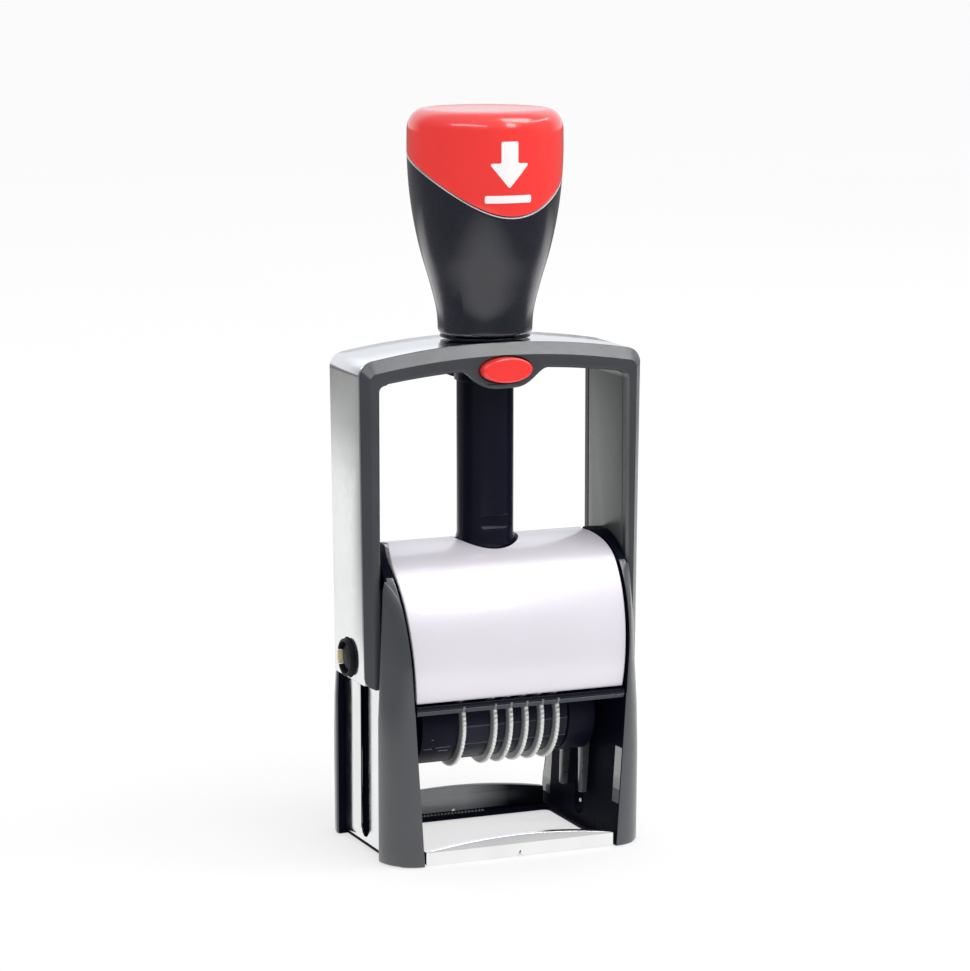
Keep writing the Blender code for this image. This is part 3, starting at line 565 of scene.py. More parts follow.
def sweep_shape(path, radius, sides):
    """Tube along a list of points, closed at both ends."""
    rings = []
    for i, here in enumerate(path):
        ahead = path[min(i + 1, len(path) - 1)] - path[max(i - 1, 0)]
        ahead.normalize()
        aside = ahead.cross(Vector((0.0, 0.0, 1.0)))
        if aside.length < 1e-3:
            aside = ahead.cross(Vector((0.0, 1.0, 0.0)))
        aside.normalize()
        up = aside.cross(ahead)
        rings.append([here + (aside * math.cos(turn) + up * math.sin(turn)) * radius
                      for turn in (math.tau * k / sides for k in range(sides))])
    return tube(rings)


# ---- base ----
SIDES = ((-1, "left"), (1, "right"))
SLOT = (arc(0.0, SLOT_LOW, SLOT_HALF, 16, math.pi, math.tau)
        + arc(0.0, SLOT_HIGH, SLOT_HALF, 16, 0.0, math.pi))


def clamped(value):
    return min(max(value, 0.0), 1.0)


def inner_wall(z):
    """Distance of a side frame's inner wall from the middle; it curls in at the crest."""
    x = WALL_X + WALL_LEAN * z
    if z > CREST_Z:
        rise = min((z - CREST_Z) / (RIM_TOP_Z - CREST_Z), 1.0)
        x -= CREST_CURL * (1.0 - math.sqrt(1.0 - rise * rise))
    return x


def right_end(y, z):
    """Where a part between the side frames ends on the right."""
    return inner_wall(z) - GAP


def left_end(y, z):
    return GAP - inner_wall(z)


def rim_y(z):
    """Half depth of a side frame at a height."""
    return RIM_DEPTH * math.sqrt(1.0 - clamped((z - RIM_CENTRE_Z) / RIM_RISE) ** 2)


def resampled(points, start, end, count):
    """Evenly spaced points on a polyline, from a distance after its start to one before its end."""
    lengths = [0.0]
    for p, q in zip(points, points[1:]):
        lengths.append(lengths[-1] + math.dist(p, q))
    result, k = [], 0
    for i in range(count):
        at = start + (lengths[-1] - end - start) * i / (count - 1)
        while k < len(points) - 2 and lengths[k + 1] < at:
            k += 1
        share = (at - lengths[k]) / max(lengths[k + 1] - lengths[k], 1e-9)
        result.append(tuple(Vector(points[k]).lerp(Vector(points[k + 1]), share)))
    return result


def bend(start, corner, end, steps=4):
    """Points strictly between start and end on a smooth curve pulled towards a corner."""
    ends = Vector(start), Vector(corner), Vector(end)
    return [tuple(pulled(*ends, k / steps)) for k in range(1, steps)]


def wing(z, rim_edge, lead_in):
    """Half of a side frame's section: from a point on its inner wall, a lead-in before the
    rim, round the wing to the arm channel, which closes towards the frame's top."""
    reach, wall = rim_y(z), inner_wall(z)
    widest_x, taper_from, taper = 29.2, 30.0, 0.042
    full_to, fading, least = 20.0, 0.014, 0.72
    closed = clamped((z - CHANNEL_TOP_Z) / CHANNEL_FADE)
    corner_y = (1.0 - closed) * WING_Y + closed * (reach - 0.5)
    outer_x = ((1.0 - closed) * (widest_x - max(0.0, z - taper_from) * taper)
               + closed * (CHANNEL_X + 0.6))
    bulge = max(least, 1.0 - max(0.0, z - full_to) * fading)
    rim_edge = min(rim_edge, 0.3 * reach)
    edge, flare = 0.3 * (1.0 - closed) + 0.05, 0.1 * (1.0 - closed)
    curve = []
    for i in range(61):
        turn = 0.5 * math.pi * i / 60
        curve.append((wall + (outer_x - wall) * math.sin(turn) ** (1.0 / bulge),
                      corner_y + (reach - corner_y) * math.cos(turn) ** (1.0 / bulge)))
    smooth = resampled(curve, rim_edge, edge, 18)
    lead = (wall, reach - min(lead_in, 0.5 * reach))
    inner, channel = (wall + flare, reach - rim_edge), (outer_x - edge, corner_y)
    return ([lead, inner] + bend(inner, (wall + flare, reach), smooth[0]) + smooth
            + bend(smooth[-1], (outer_x, corner_y), channel) + [channel, (CHANNEL_X, corner_y)])


def wing_section(z, foot):
    """Outline of the right side frame at one height; foot draws it in near the table."""
    front_edge = 0.35
    rear_edge = front_edge + 1.2 * clamped((z - 7.0) / 3.0)
    front = [(x, -y) for x, y in wing(z, front_edge, FRONT_LEAD_IN)]
    section = front + wing(z, rear_edge, REAR_LEAD_IN)[::-1]
    return [(x - foot if x > CHANNEL_X + 0.01 else x, y * (1.0 - 0.015 * foot))
            for x, y in section]


def side_frame(side, word):
    """Side frame: rounded grey wings, an inner face painted near-black as shade and, on the right,
    lead-ins painted paler as a sheen.
    """
    chamfer, sharp, skin = 0.35, 30.0, 0.14
    levels = [(0.0, chamfer), (0.12, 0.3 * chamfer), (chamfer, 0.0)]
    levels += [(3.0 + 3.0 * k, 0.0) for k in range(12)]
    levels += [(RIM_CENTRE_Z + RIM_RISE * math.sin(0.5 * math.pi * k / 34), 0.0)
               for k in range(33)]
    sections = [(z, [(side * x, y) for x, y in wing_section(z, foot)]) for z, foot in levels]

    def choose(centre, normal):
        depth = abs(centre.x) - inner_wall(centre.z)
        rim = rim_y(centre.z) - abs(centre.y)
        low, sheen_from, high, near, far = REAR_PATCH if centre.y > 0.0 else FRONT_PATCH
        # pale patches at the right wall's lead-ins: painted sheen, rib grey at their lower end
        if (side > 0 and depth < skin and abs(normal.x) > 0.9 and low < centre.z < high
                and near < rim < far):
            return 2 if centre.z > sheen_from else 3
        # the inner wall and the rim's edge take the near-black: painted shade on the grey moulding;
        # the arm channel is near-black too
        inside = depth < skin and normal.x * side < -0.7
        channel = abs(centre.y) < WING_Y + 0.05 and abs(centre.x) < 28.0
        return inside or channel or (depth < 0.2 and rim < 0.4)

    made = piece(word + "_side_frame", stacked("Z", sections), [GREY, DEEP, SHEEN, RIB], sharp,
                 choose)
    carve(made, [bored(SLOT, "X", side * 18.0, side * 33.0)], sharp, choose)


def side_plate(side, word):
    outline = fillet(box(11.8, 1.2, 57.0), 0.5)
    near = CHANNEL_X + GAP
    slab(word + "_side_plate", [outline, fillet(SLOT, 0.1)], "X",
         *sorted((side * near, side * (near + 0.4))), STRAP, 0.08, 2)


def wall_nub():
    """Tiny moulded dome low on the right inner wall, pale as a painted glint."""
    y, z = -0.8, 5.4
    wall = inner_wall(z) + 0.1
    dome = [(0.0, wall), (0.45, wall), (0.42, wall - 0.17), (0.25, wall - 0.27),
            (0.0, wall - 0.3)]
    lathe("wall_nub", dome, "X", (y, z), RIM, 24, on="right_side_frame")


def guide_bar(name, near, far, end_z, middle_z, looks):
    """Low cross bar with an arched top, rounded rims and a centring notch."""
    half, steps = inner_wall(0.0) - GAP, 28
    outline = [(-half, 0.05), (-0.75, 0.05), (0.0, 1.4), (0.75, 0.05), (half, 0.05)]
    for i in range(steps + 1):
        share = 1.0 - 2.0 * i / steps
        outline.append((half * share, middle_z - (middle_z - end_z) * share ** 2))

    slab(name, [fillet(outline, 0.15, 3, smooth_angle=30.0)], "Y", near, far, looks, 0.14,
         choose=lambda centre, normal: len(looks) > 1 and normal.y > -0.5)


def window_frame():
    """Flange round the print window, with a ledge and small gripping teeth along the rear."""
    outer = fillet(box(21.2, -17.3, 17.3), 0.3)
    inner = fillet(box(20.4, -13.2, 13.2), 1.6, 6)
    top = 0.9
    slab("window_frame", [outer, inner], "Z", 0.0, top, DEEP, 0.2)
    teeth, pitch, shift, near, depth = 25, 0.8, -4.0, 14.4, 0.55
    shapes = []
    for i in range(teeth):
        x = (i - (teeth - 1) / 2) * pitch + shift
        tooth = [(x - 0.25, top), (x + 0.25, top), (x + 0.12, 1.25), (x - 0.12, 1.25)]
        shapes.append(slab_shape([tooth], "Y", near, near + depth, 0.05, 1))
    # the teeth take the pale sheen material: painted highlights along the rear ledge
    piece("window_teeth", joined(shapes), SHEEN, on="window_frame")


def hood_outline(first, last, thick, steps):
    outer = arc(0.0, RIM_CENTRE_Z, COVER_DEPTH, steps, first, last, RIM_RISE)
    inner = arc(0.0, RIM_CENTRE_Z, COVER_DEPTH - thick, steps, first, last, RIM_RISE - thick)
    return outer + inner[::-1]


def hood_angle(z):
    return math.asin((z - RIM_CENTRE_Z) / RIM_RISE)


def cover():
    """Lacquered hood with rolled edges and the hole that the guide post stands in."""
    front_z, rear_z, thick, left_gap, right_gap = span("cover", "Z")[0], 58.6, 1.2, 0.65, 0.3
    sharp = 50.0
    outline = fillet(hood_outline(hood_angle(rear_z), math.pi - hood_angle(front_z), thick, 96),
                     0.4, 4, smooth_angle=40.0)

    def end(z, gap):
        return inner_wall(min(z, RIM_TOP_Z)) - gap

    def choose(centre, normal):
        # the side edges and the lower front edge take the paler lacquer: painted highlight lines
        gap = right_gap if centre.x > 0.0 else left_gap
        beside = end(centre.z, gap) - abs(centre.x) < 0.16
        return beside or centre.z < front_z + 0.22 and centre.y < 0.0

    made = slab("cover", [outline], "X", lambda y, z: -end(z, left_gap),
                lambda y, z: end(z, right_gap), [COVER, COVER_EDGE], 0.35, 4, sharp=sharp,
                choose=choose)
    carve(made, [drill(7.0, 57.0, 70.0)], sharp, choose)


def index_bar():
    """Lip with a fine groove over a bevelled lower strip, and a tick for each wheel."""
    outline = [(-19.5, 32.0), (-17.4, 32.0), (-17.4, 33.9), (-19.9, 33.9), (-19.95, 33.1),
               (-19.8, 33.0), (-19.97, 32.88)]

    slab("index_bar", [fillet(outline, 0.05, 2)], "X", left_end, right_end, [BLACK, BAR_LOW],
         0.05, choose=lambda centre, normal: centre.z < 32.95 and normal.y < -0.3)
    tick_shift, half = -2.35, 0.22
    mark = [(-19.98, 32.85), (-19.52, 32.03), (-19.4, 32.1), (-19.85, 32.9), (-19.8, 33.0),
            (-19.93, 33.12), (-19.91, 33.3), (-19.98, 33.3)]
    for number, slot in enumerate(WHEEL_SLOTS, start=1):
        x = slot * WHEEL_PITCH + tick_shift
        slab(f"index_tick_{number}", [mark], "X", x - half, x + half, TICK, 0.0, on="index_bar")


def guide_post():
    """Tube with a slightly flared foot whose lip is wavy, and the latch notch in front."""
    bore, foot_r, low, wavy = 4.6, span("guide_post", "X")[1], 57.8, 0.13
    profile = [(bore, 60.0), (0.0, 60.0), (0.0, low), (foot_r - 0.1, low),
               (foot_r - 0.1, 63.0), (foot_r, 63.6), (foot_r, 64.4), (POST_R + 0.25, 65.0),
               (POST_R, 66.0), (POST_R, POST_TOP - 0.6), (POST_R - 0.6, POST_TOP),
               (bore, POST_TOP)]

    def lip(radius, height, turn):
        return wavy * math.cos(5.0 * turn + 0.9) * (62.9 < height < 65.2) - (
            wavy * (62.9 < height < 64.5))

    made = lathe("guide_post", profile, "Z", MIDDLE, BLACK, 128, 0.25, lip)
    notch = [(-8.0, 69.9), (-5.3, 70.4), (-5.05, 70.0), (-5.1, 68.0), (-5.4, 67.3),
             (-8.0, 66.6)]
    carve(made, [bored(notch, "X", -8.0, 8.0)])


def return_spring():
    """Fine coil of the return spring, which on the stamp shortens with the press; the coil here is
    made at one length.
    """
    (low, high), radius, wire = span("return_spring", "Z"), 3.9, 0.42
    turns, per_turn = 18, 28
    steps = turns * per_turn
    path = []
    for i in range(steps + 1):
        turn = math.tau * i / per_turn
        path.append(Vector((radius * math.cos(turn), radius * math.sin(turn),
                            low + wire + (high - low - 2.0 * wire) * i / steps)))
    made = piece("return_spring", sweep_shape(path, wire, 10), SPRING, 60.0)
    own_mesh(made)


def cam_path(turn):
    """Centre of a cam pin while the unit turns from 0 to half a turn."""
    return (-CRANK * math.cos(turn), AXLE_Z - TRAVEL * turn / math.pi - CRANK * math.sin(turn))


def cam_ribs():
    """Ribs on the inner walls that steer the cam pins, with softened edges; their grey, lighter
    than the near-black wall, is a painted glint.
    """
    clearance, slot_side, width, foot = 1.55, -2.75, 1.7, 8.0
    edge = [(-CRANK - clearance, AXLE_Z + 1.5)]
    for i in range(37):
        turn = 0.5 * math.pi * i / 36
        here, ahead = Vector(cam_path(turn)), Vector(cam_path(turn + 0.01))
        step = (ahead - here).normalized()
        beside = here + clearance * Vector((step.y, -step.x))
        if beside.x > slot_side:
            break
        edge.append(tuple(beside))
    edge += [(slot_side, edge[-1][1] - 1.0), (slot_side, foot)]
    front = fillet(edge + [(y - width, z) for y, z in reversed(edge)], 0.35, smooth_angle=40.0)
    rear = [(-y, 2.0 * AXLE_Z - TRAVEL - z) for y, z in front]
    for side, word in SIDES:
        ends = (left_end, -CAM_RIB_X) if side < 0 else (CAM_RIB_X, right_end)
        for place, outline in (("front", front), ("rear", rear)):
            slab(f"{word}_{place}_cam_rib", [outline], "X", *ends, RIB, 0.15, 2)


# ---- stirrup, trims, handle ----
def arm_outer(z):
    share = min(1.0, (z - ARM_LOW_Z) / (ARM_HIGH_Z - ARM_LOW_Z))
    return ARM_LOW_X + (ARM_HIGH_X - ARM_LOW_X) * share


def bridge_top(x):
    return BRIDGE_TOP_Z - BRIDGE_DROP * (x / BRIDGE_HALF) ** 2


def bridge_low(x, boss):
    z = BRIDGE_LOW_Z - BRIDGE_LOW_DROP * (x / ARM_INNER_X) ** 2
    if boss and abs(x) < BOSS_HALF:
        share = (abs(x) / BOSS_HALF) ** BOSS_FULLNESS
        z -= BOSS_DROP * 0.5 * (1.0 + math.cos(math.pi * share))
    return z


def outer_edge(bottom, side_inset=0.0, top_inset=0.0):
    """Outside of the U, from the right foot over the top to the left foot, smooth throughout."""
    radius = CORNER_R - side_inset
    corner_x = ARM_HIGH_X - side_inset - radius
    lean, touch_x = 0.0, corner_x
    for _ in range(4):
        lean = math.atan(bridge_top(touch_x - 0.5) - bridge_top(touch_x + 0.5))
        touch_x = corner_x + radius * math.sin(lean)
    corner_z = bridge_top(touch_x) - top_inset - radius * math.cos(lean)
    arm_steps, top_steps = 6, 24
    right = []
    for k in range(arm_steps + 1):
        z = bottom + (corner_z - bottom) * k / arm_steps
        right.append((arm_outer(z) - side_inset, z))
    right += arc(corner_x, corner_z, radius, 16, 0.0, 0.5 * math.pi - lean)[1:]
    for k in range(1, top_steps + 1):
        x = touch_x * (1.0 - k / top_steps)
        right.append((x, bridge_top(x) - top_inset))
    return right + mirrored(right)[1:]


def inner_edge(bottom, boss, inset_by=0.0):
    """Inside of the U, from the left foot to the right foot, with or without the boss."""
    inner_r, steps = 1.4 + inset_by, 48
    x0 = ARM_INNER_X + inset_by
    low_z = bridge_low(x0, boss) + inset_by - inner_r
    left = [(-x0, bottom), (-x0, low_z)]
    left += arc(inner_r - x0, low_z, inner_r, 12, math.pi, 0.5 * math.pi)[1:]
    for k in range(1, steps + 1):
        x = (inner_r - x0) * (1.0 - k / steps)
        left.append((x, bridge_low(x, boss) + inset_by))
    return left + mirrored(left)[1:]


def stirrup():
    """Bright strap over a dark liner; the edges are rolled and the holes cut clean."""
    behind, bottom = STRAP_THICK + GAP, ARM_BOTTOM_Z
    strap = outer_edge(bottom) + outer_edge(bottom, STRAP_THICK, STRAP_THICK)[::-1]
    liner = outer_edge(bottom, behind, behind) + inner_edge(bottom, False)
    pivot_hole = bored(arc(*AXLE, 4.3, 64), "X", -35.0, 35.0)
    for name, outline, look, edge in (("stirrup", strap, STRAP, 0.3),
                                      ("stirrup_liner", liner, LINER, 0.15)):
        made = slab(name, [fillet(outline, 0.3, 3, smooth_angle=50.0)], "Y", -STEEL_Y, STEEL_Y,
                    look, edge)
        carve(made, [drill(7.7, 92.0, 112.0), pivot_hole])


def trim_loops(side, bottom):
    """Outlines of a trim from its back to its bevelled face, each at its own depth."""
    side_bevel, top_bevel, inner_bevel = 1.6, 2.5, 0.5
    set_in = 0.3 if side > 0 else 0.0
    back, face = TRIM_BACK_Y, TRIM_Y
    shoulder = back + 0.3
    straight = outer_edge(bottom, set_in, set_in) + inner_edge(bottom, True)

    def sloped(y, inner=0.0):
        share = (y - shoulder) / (face - shoulder)
        start = set_in + 0.05
        return (y, outer_edge(bottom, start + (side_bevel - start) * share,
                              start + (top_bevel - start) * share)
                + inner_edge(bottom, True, inner))

    rows = [(back, straight), (shoulder - 0.1, straight), sloped(shoulder),
            sloped(face - inner_bevel), sloped(face - 0.12, inner_bevel - 0.12),
            sloped(face - 0.03, inner_bevel),
            (face, outer_edge(bottom, side_bevel + 0.12, top_bevel + 0.16)
             + inner_edge(bottom, True, inner_bevel + 0.12))]
    return [(side * y, points) for y, points in rows]


def button_reach(point):
    """Distance from the button's middle, as a share of its opening."""
    return math.hypot(point.x / (BUTTON_A + GAP), (point.z - BUTTON_Z) / (BUTTON_B + GAP))


def trim(side, name):
    """Plastic edging on one side of the stirrup, with rounded feet; side -1 is the front."""
    bottom, round_foot, sharp = span(name, "Z")[0], 2.2, 24.0
    made = piece(name, stacked("Y", trim_loops(side, bottom)), [TRIM, BEVEL, DEEP, GREY], sharp)
    shapes = []
    for arm in (-1, 1):
        x_out = arm * (arm_outer(bottom) + 0.4)
        corner = [(x_out, bottom - 0.4), (x_out - arm * round_foot, bottom - 0.4)]
        corner += [(x_out - arm * (0.4 + round_foot * (1.0 - math.sin(t))),
                    bottom + round_foot * (1.0 - math.cos(t)))
                   for t in (0.25, 0.5, 0.75, 1.0, 1.25, 1.5)]
        corner += [(x_out, bottom + round_foot)]
        shapes.append(bored(corner, "Y", side * (TRIM_BACK_Y - 0.1), side * (TRIM_Y + 0.5)))
    if side < 0:
        opening = arc(0.0, BUTTON_Z, BUTTON_A + GAP, 96, radius_b=BUTTON_B + GAP)
        shapes.append(bored(opening, "Y", -15.0, -5.0))

    def choose(centre, normal):
        # the wall of the button's opening takes the near-black: painted shade
        if side < 0 and button_reach(centre) < 1.01:
            return 2
        # bevels turned upwards, and side bevels turned one way, take the lighter grey: painted
        # light
        if not 0.3 < side * normal.y < 0.93:
            return 0
        if centre.x * side > 0.0:
            return 1 if normal.z > 0.3 else 0
        return 3 if normal.x * side < -0.5 else 1 if abs(normal.x) > 0.5 or normal.z > 0.3 else 0

    carve(made, shapes, sharp, choose)


def lock_button():
    """Oval button with a domed, dished face."""
    back, rim, face = -10.1, -11.6, BUTTON_FRONT
    rings = [(back, 1.0), (rim, 1.0)]
    rings += [(rim - 1.2 * math.sin(t), 1.0 - 0.16 * (1.0 - math.cos(t)))
              for t in (0.25, 0.5, 0.75, 1.0, 1.25)]
    rings += [(face + 0.02, 0.8), (face, 0.7), (face + 0.03, 0.55), (face + 0.09, 0.35),
              (face + 0.12, 0.15)]
    piece("lock_button", tube([[(x, max(y, face), z) for x, z in arc(
        0.0, BUTTON_Z, BUTTON_A * share, 96, radius_b=BUTTON_B * share)]
        for y, share in rings]), RED, 50.0)


def post_bushing():
    inner, lip = POST_R + GAP, POST_R + 0.5
    profile = [(inner, 98.4), (lip, 98.4), (lip, 100.2), (7.4, 100.5), (7.4, 107.5),
               (9.5, 107.5), (9.5, 107.9), (inner, 107.9)]
    lathe("post_bushing", profile, "Z", MIDDLE, BLACK, edge=0.12)


def handle_radius(z):
    """Smooth outer radius of the handle and cap through the profile's points."""
    points = HANDLE_PROFILE
    z = min(max(z, points[0][0]), points[-1][0])
    k = max(i for i in range(len(points) - 1) if z >= points[i][0])
    (z0, r0), (z1, r1) = points[k:k + 2]
    before = points[max(k - 1, 0)]
    after = points[min(k + 2, len(points) - 1)]
    slope0 = (r1 - before[1]) / (z1 - before[0])
    slope1 = (after[1] - r0) / (after[0] - z0)
    t, length = (z - z0) / (z1 - z0), z1 - z0
    return ((2 * t ** 3 - 3 * t ** 2 + 1) * r0 + (t ** 3 - 2 * t ** 2 + t) * length * slope0
            + (3 * t ** 2 - 2 * t ** 3) * r1 + (t ** 3 - t ** 2) * length * slope1)


def wave(turn):
    """Height of the cap's lower edge; turn is measured from the front."""
    mean, first, second, third = CAP_WAVE
    return (mean - first * math.cos(turn) - second * math.cos(2.0 * turn)
            - third * math.cos(3.0 * turn))


def from_front(radius, turn, z):
    return (radius * math.sin(turn), -radius * math.cos(turn), z)


def wavy_piece(name, rings, looks, sharp, choose=None, segments=160):
    """Piece round the middle line from rings, each a function of the turn that gives a radius
    and a height, such a pair itself, or the height of a centre point."""
    turns = [math.tau * i / segments for i in range(segments)]
    made = []
    for ring in rings:
        if isinstance(ring, float):
            made.append([from_front(0.0, 0.0, ring)])
            continue
        at = ring if callable(ring) else lambda turn, pair=ring: pair
        made.append([from_front(radius, turn, z) for turn in turns for radius, z in [at(turn)]])
    piece(name, ring_shape(made), looks, sharp, choose)


def grip_wall(bottom, top, steps):
    """Rings on the outside of the handle and cap between two heights that follow the turn."""
    def ring(share):
        def at(turn):
            z = bottom(turn) + (top(turn) - bottom(turn)) * share
            return handle_radius(z), z
        return at
    return [ring(k / steps) for k in range(steps + 1)]


def rolled_rings(radius_at, z_at, roll, angles):
    """Rings of a rounded lower edge, from its inside outwards."""
    return [lambda turn, angle=angle: (radius_at(turn) - roll * (1.0 - math.sin(angle)),
                                       z_at(turn) + roll * (1.0 - math.cos(angle)))
            for angle in angles]


def handle():
    """Waisted grip: rolled foot, and a rolled shoulder that follows the cap's wave."""
    seam, shoulder, foot = 0.22, 0.28, 0.9
    core_r, core_top, bore, bore_top = 12.1, 150.8, 6.6, 148.0

    def foot_radius(turn):
        return handle_radius(HANDLE_BOTTOM + foot)

    def shoulder_z(turn):
        return wave(turn) - seam - shoulder

    rings = [(bore, HANDLE_BOTTOM), (handle_radius(HANDLE_BOTTOM) - foot, HANDLE_BOTTOM)]
    rings += rolled_rings(foot_radius, lambda turn: HANDLE_BOTTOM, foot, (0.4, 0.8, 1.2))
    rings += grip_wall(lambda turn: HANDLE_BOTTOM + foot, shoulder_z, 44)
    rings += [lambda turn, angle=angle: (
        handle_radius(shoulder_z(turn)) - shoulder * (1.0 - math.cos(angle)),
        shoulder_z(turn) + shoulder * math.sin(angle)) for angle in (0.4, 0.8, 1.2, 1.57)]
    rings += [lambda turn: (core_r, wave(turn) - seam), (core_r, core_top), core_top, bore_top,
              (bore, bore_top)]

    def choose(centre, normal):
        # the shoulder's rim takes the pale grey: a painted highlight line
        at_rim = centre.z > shoulder_z(math.atan2(centre.x, -centre.y)) + 0.02
        return at_rim and centre.xy.length > 13.0

    wavy_piece("handle", rings, [HANDLE, EDGE], 45.0, choose)


def handle_cap():
    """Red cap: rolled wave edge, straight side, soft shoulder and a slightly dished top."""
    roll, inner_r, dish = 0.18, 12.4, CAP_TOP - 0.18
    rings = [lambda turn: (inner_r, wave(turn))]
    rings += rolled_rings(lambda turn: handle_radius(wave(turn) + roll), wave, roll,
                          (0.0, 0.5, 1.0))
    rings += grip_wall(lambda turn: wave(turn) + roll, lambda turn: CAP_SHOULDER_Z, 14)
    edge_r = handle_radius(CAP_SHOULDER_Z) - CAP_FLAT_R
    rings += [(CAP_FLAT_R + edge_r * math.cos(angle),
               CAP_SHOULDER_Z + (CAP_TOP - CAP_SHOULDER_Z) * math.sin(angle))
              for angle in (0.5 * math.pi * k / 12 for k in range(1, 13))]
    rings += [(CAP_FLAT_R - 0.35, CAP_TOP - 0.02), (CAP_FLAT_R - 0.7, CAP_TOP - 0.1),
              (8.0, CAP_TOP - 0.16), (4.0, dish), dish, CAP_CORE_Z, (inner_r, CAP_CORE_Z)]
    wavy_piece("handle_cap", rings, RED, 40.0)


def cap_mark():
    """Plain press-here mark printed on the cap's front: a down arrow over a short bar."""
    middle_turn, middle_z, lift, size, cuts = -0.08, 143.7, 0.05, 1.2, 7
    arrow = [(-1.5, 4.6), (1.5, 4.6), (1.5, 0.9), (3.6, 0.9), (0.0, -3.4), (-3.6, 0.9),
             (-1.5, 0.9)]
    shapes = []
    for outline in (arrow, [(-4.2, -4.6), (4.2, -4.6), (4.2, -5.9), (-4.2, -5.9)]):
        outline = fillet([(a * size, b * size) for a, b in outline], 0.4, 4)
        flat = bmesh.new()
        flat.faces.new([flat.verts.new((a, b, 0.0)) for a, b in outline])
        bmesh.ops.triangulate(flat, faces=flat.faces)
        bmesh.ops.subdivide_edges(flat, edges=flat.edges, cuts=cuts, use_grid_fill=True)
        flat.verts.index_update()
        verts, faces, count = [], [], len(flat.verts)
        for depth in (0.0, lift):
            for v in flat.verts:
                z = middle_z + v.co.y
                turn = middle_turn + v.co.x / handle_radius(z)
                verts.append(from_front(handle_radius(z) + depth, turn, z))
        for face in flat.faces:
            index = [v.index for v in face.verts]
            faces += [tuple(index[::-1]), tuple(count + i for i in index)]
        for edge in flat.edges:
            if edge.is_boundary:
                a, b = (v.index for v in edge.verts)
                faces.append((a, b, count + b, count + a))
        flat.free()
        shapes.append((verts, faces))
    piece("cap_mark", joined(shapes), WHITE_INK, 60.0, on="handle_cap")


def sector(near_r, far_r, half_turn):
    """Part of a ring round the axle, a little below its rearmost point."""
    low, high = CLIP_TURN - half_turn, CLIP_TURN + half_turn
    return arc(*AXLE, far_r, 18, low, high) + arc(*AXLE, near_r, 18, high, low)


def clip_outline(middle_r, thin, thick, half_turn):
    """Part of a ring round the axle as two lobes with a waist between them."""
    turns = [-half_turn + half_turn * k / 12 for k in range(25)]
    half = [(a, 0.5 * (thin + (thick - thin) * abs(math.sin(math.pi * a / half_turn))))
            for a in turns]
    ring = [(middle_r + h, a) for a, h in half] + [(middle_r - h, a) for a, h in reversed(half)]
    return [(r * math.cos(a + CLIP_TURN), AXLE_Z + r * math.sin(a + CLIP_TURN)) for r, a in ring]


def pivots():
    """Each pivot: a grained cup bush, a domed axle cap in it and a brass retaining clip."""
    cup_r, rim_r, bore, root, cup_face, floor = 3.95, 3.35, 2.3, 28.0, 32.0, 29.8
    bush = [(bore, root), (cup_r, root), (cup_r, cup_face), (rim_r, cup_face), (rim_r, floor),
            (bore, floor)]
    head = [(0.0, 30.1), (3.0, 30.1), (3.0, 30.75), (2.9, 31.05), (2.6, 31.28), (2.0, 31.45),
            (1.1, 31.56), (0.0, 31.6)]
    for side, word in SIDES:
        made = lathe(word + "_pivot_bush", [(r, side * x) for r, x in bush], "X", AXLE,
                     ROUGH_BLACK, 96, 0.22)
        carve(made, [bored(sector(3.2, 5.0, 0.47), "X", side * (floor + 0.2), side * 33.0)])
        lathe(word + "_axle_cap", [(r, side * x) for r, x in head], "X", AXLE, BLOCK, 72, 0.1,
              sharp=50.0)
        slab(word + "_retaining_clip", [clip_outline(3.55, 0.3, 0.64, 0.4)], "X",
             *sorted((side * 30.3, side * 32.2)), BRASS, 0.1)
    axle = [(0.0, -29.6), (1.7, -29.6), (2.0, -29.3), (2.0, 29.3), (1.7, 29.6), (0.0, 29.6)]
    lathe("cross_axle", axle, "X", AXLE, PIN, 64)


# ---- printing unit ----
def loop_outline(wheel_r, nose_r):
    """A band's way round its wheel and over the anvil's two edges."""
    points = arc(*WHEEL_AT, wheel_r, 64)
    for y in (-ANVIL_HALF_Y, ANVIL_HALF_Y):
        points += arc(y, ANVIL_Z, nose_r, 24)
    return hull(points)


def loop_length(points):
    return sum((Vector(q) - Vector(p)).length for p, q in edges_of(points))


def along_loop(points, distance):
    """Point at a distance round a closed outline."""
    distance %= loop_length(points)
    for p, q in edges_of(points):
        length = (Vector(q) - Vector(p)).length
        if distance <= length:
            return Vector(p).lerp(Vector(q), distance / length)
        distance -= length
    return Vector(points[0])


def number_wheel(index, x, drum_end):
    """Setting disc with a beaded rim, and the drum that its band runs on."""
    teeth, bead, drum_r, bore = 66, 0.13, 8.3, 1.8
    crown = DISC_R - bead
    left, right = x - WHEEL_HALF, x + WHEEL_HALF
    profile = [(bore, left), (crown - 0.9, left), (crown - 0.75, left + 0.05),
               (crown - 0.3, left + 0.06), (crown, left + 0.22), (crown, right - 0.22),
               (crown - 0.3, right - 0.03), (drum_r, right), (drum_r, drum_end),
               (bore, drum_end)]

    def beads(radius, height, turn):
        return bead * math.cos(teeth * turn) if radius > crown - 0.05 else 0.0

    # the beaded rim takes the pale grey, the side faces the darker grey as painted shade
    def choose(centre, normal):
        reach = math.hypot(centre.y - WHEEL_Y, centre.z - WHEEL_Z)
        return reach > crown - 0.2

    lathe(f"number_wheel_{index}", profile, "X", WHEEL_AT, [WHEEL, RIM], teeth * 6, 0.0, beads,
          sharp=40.0, choose=choose)


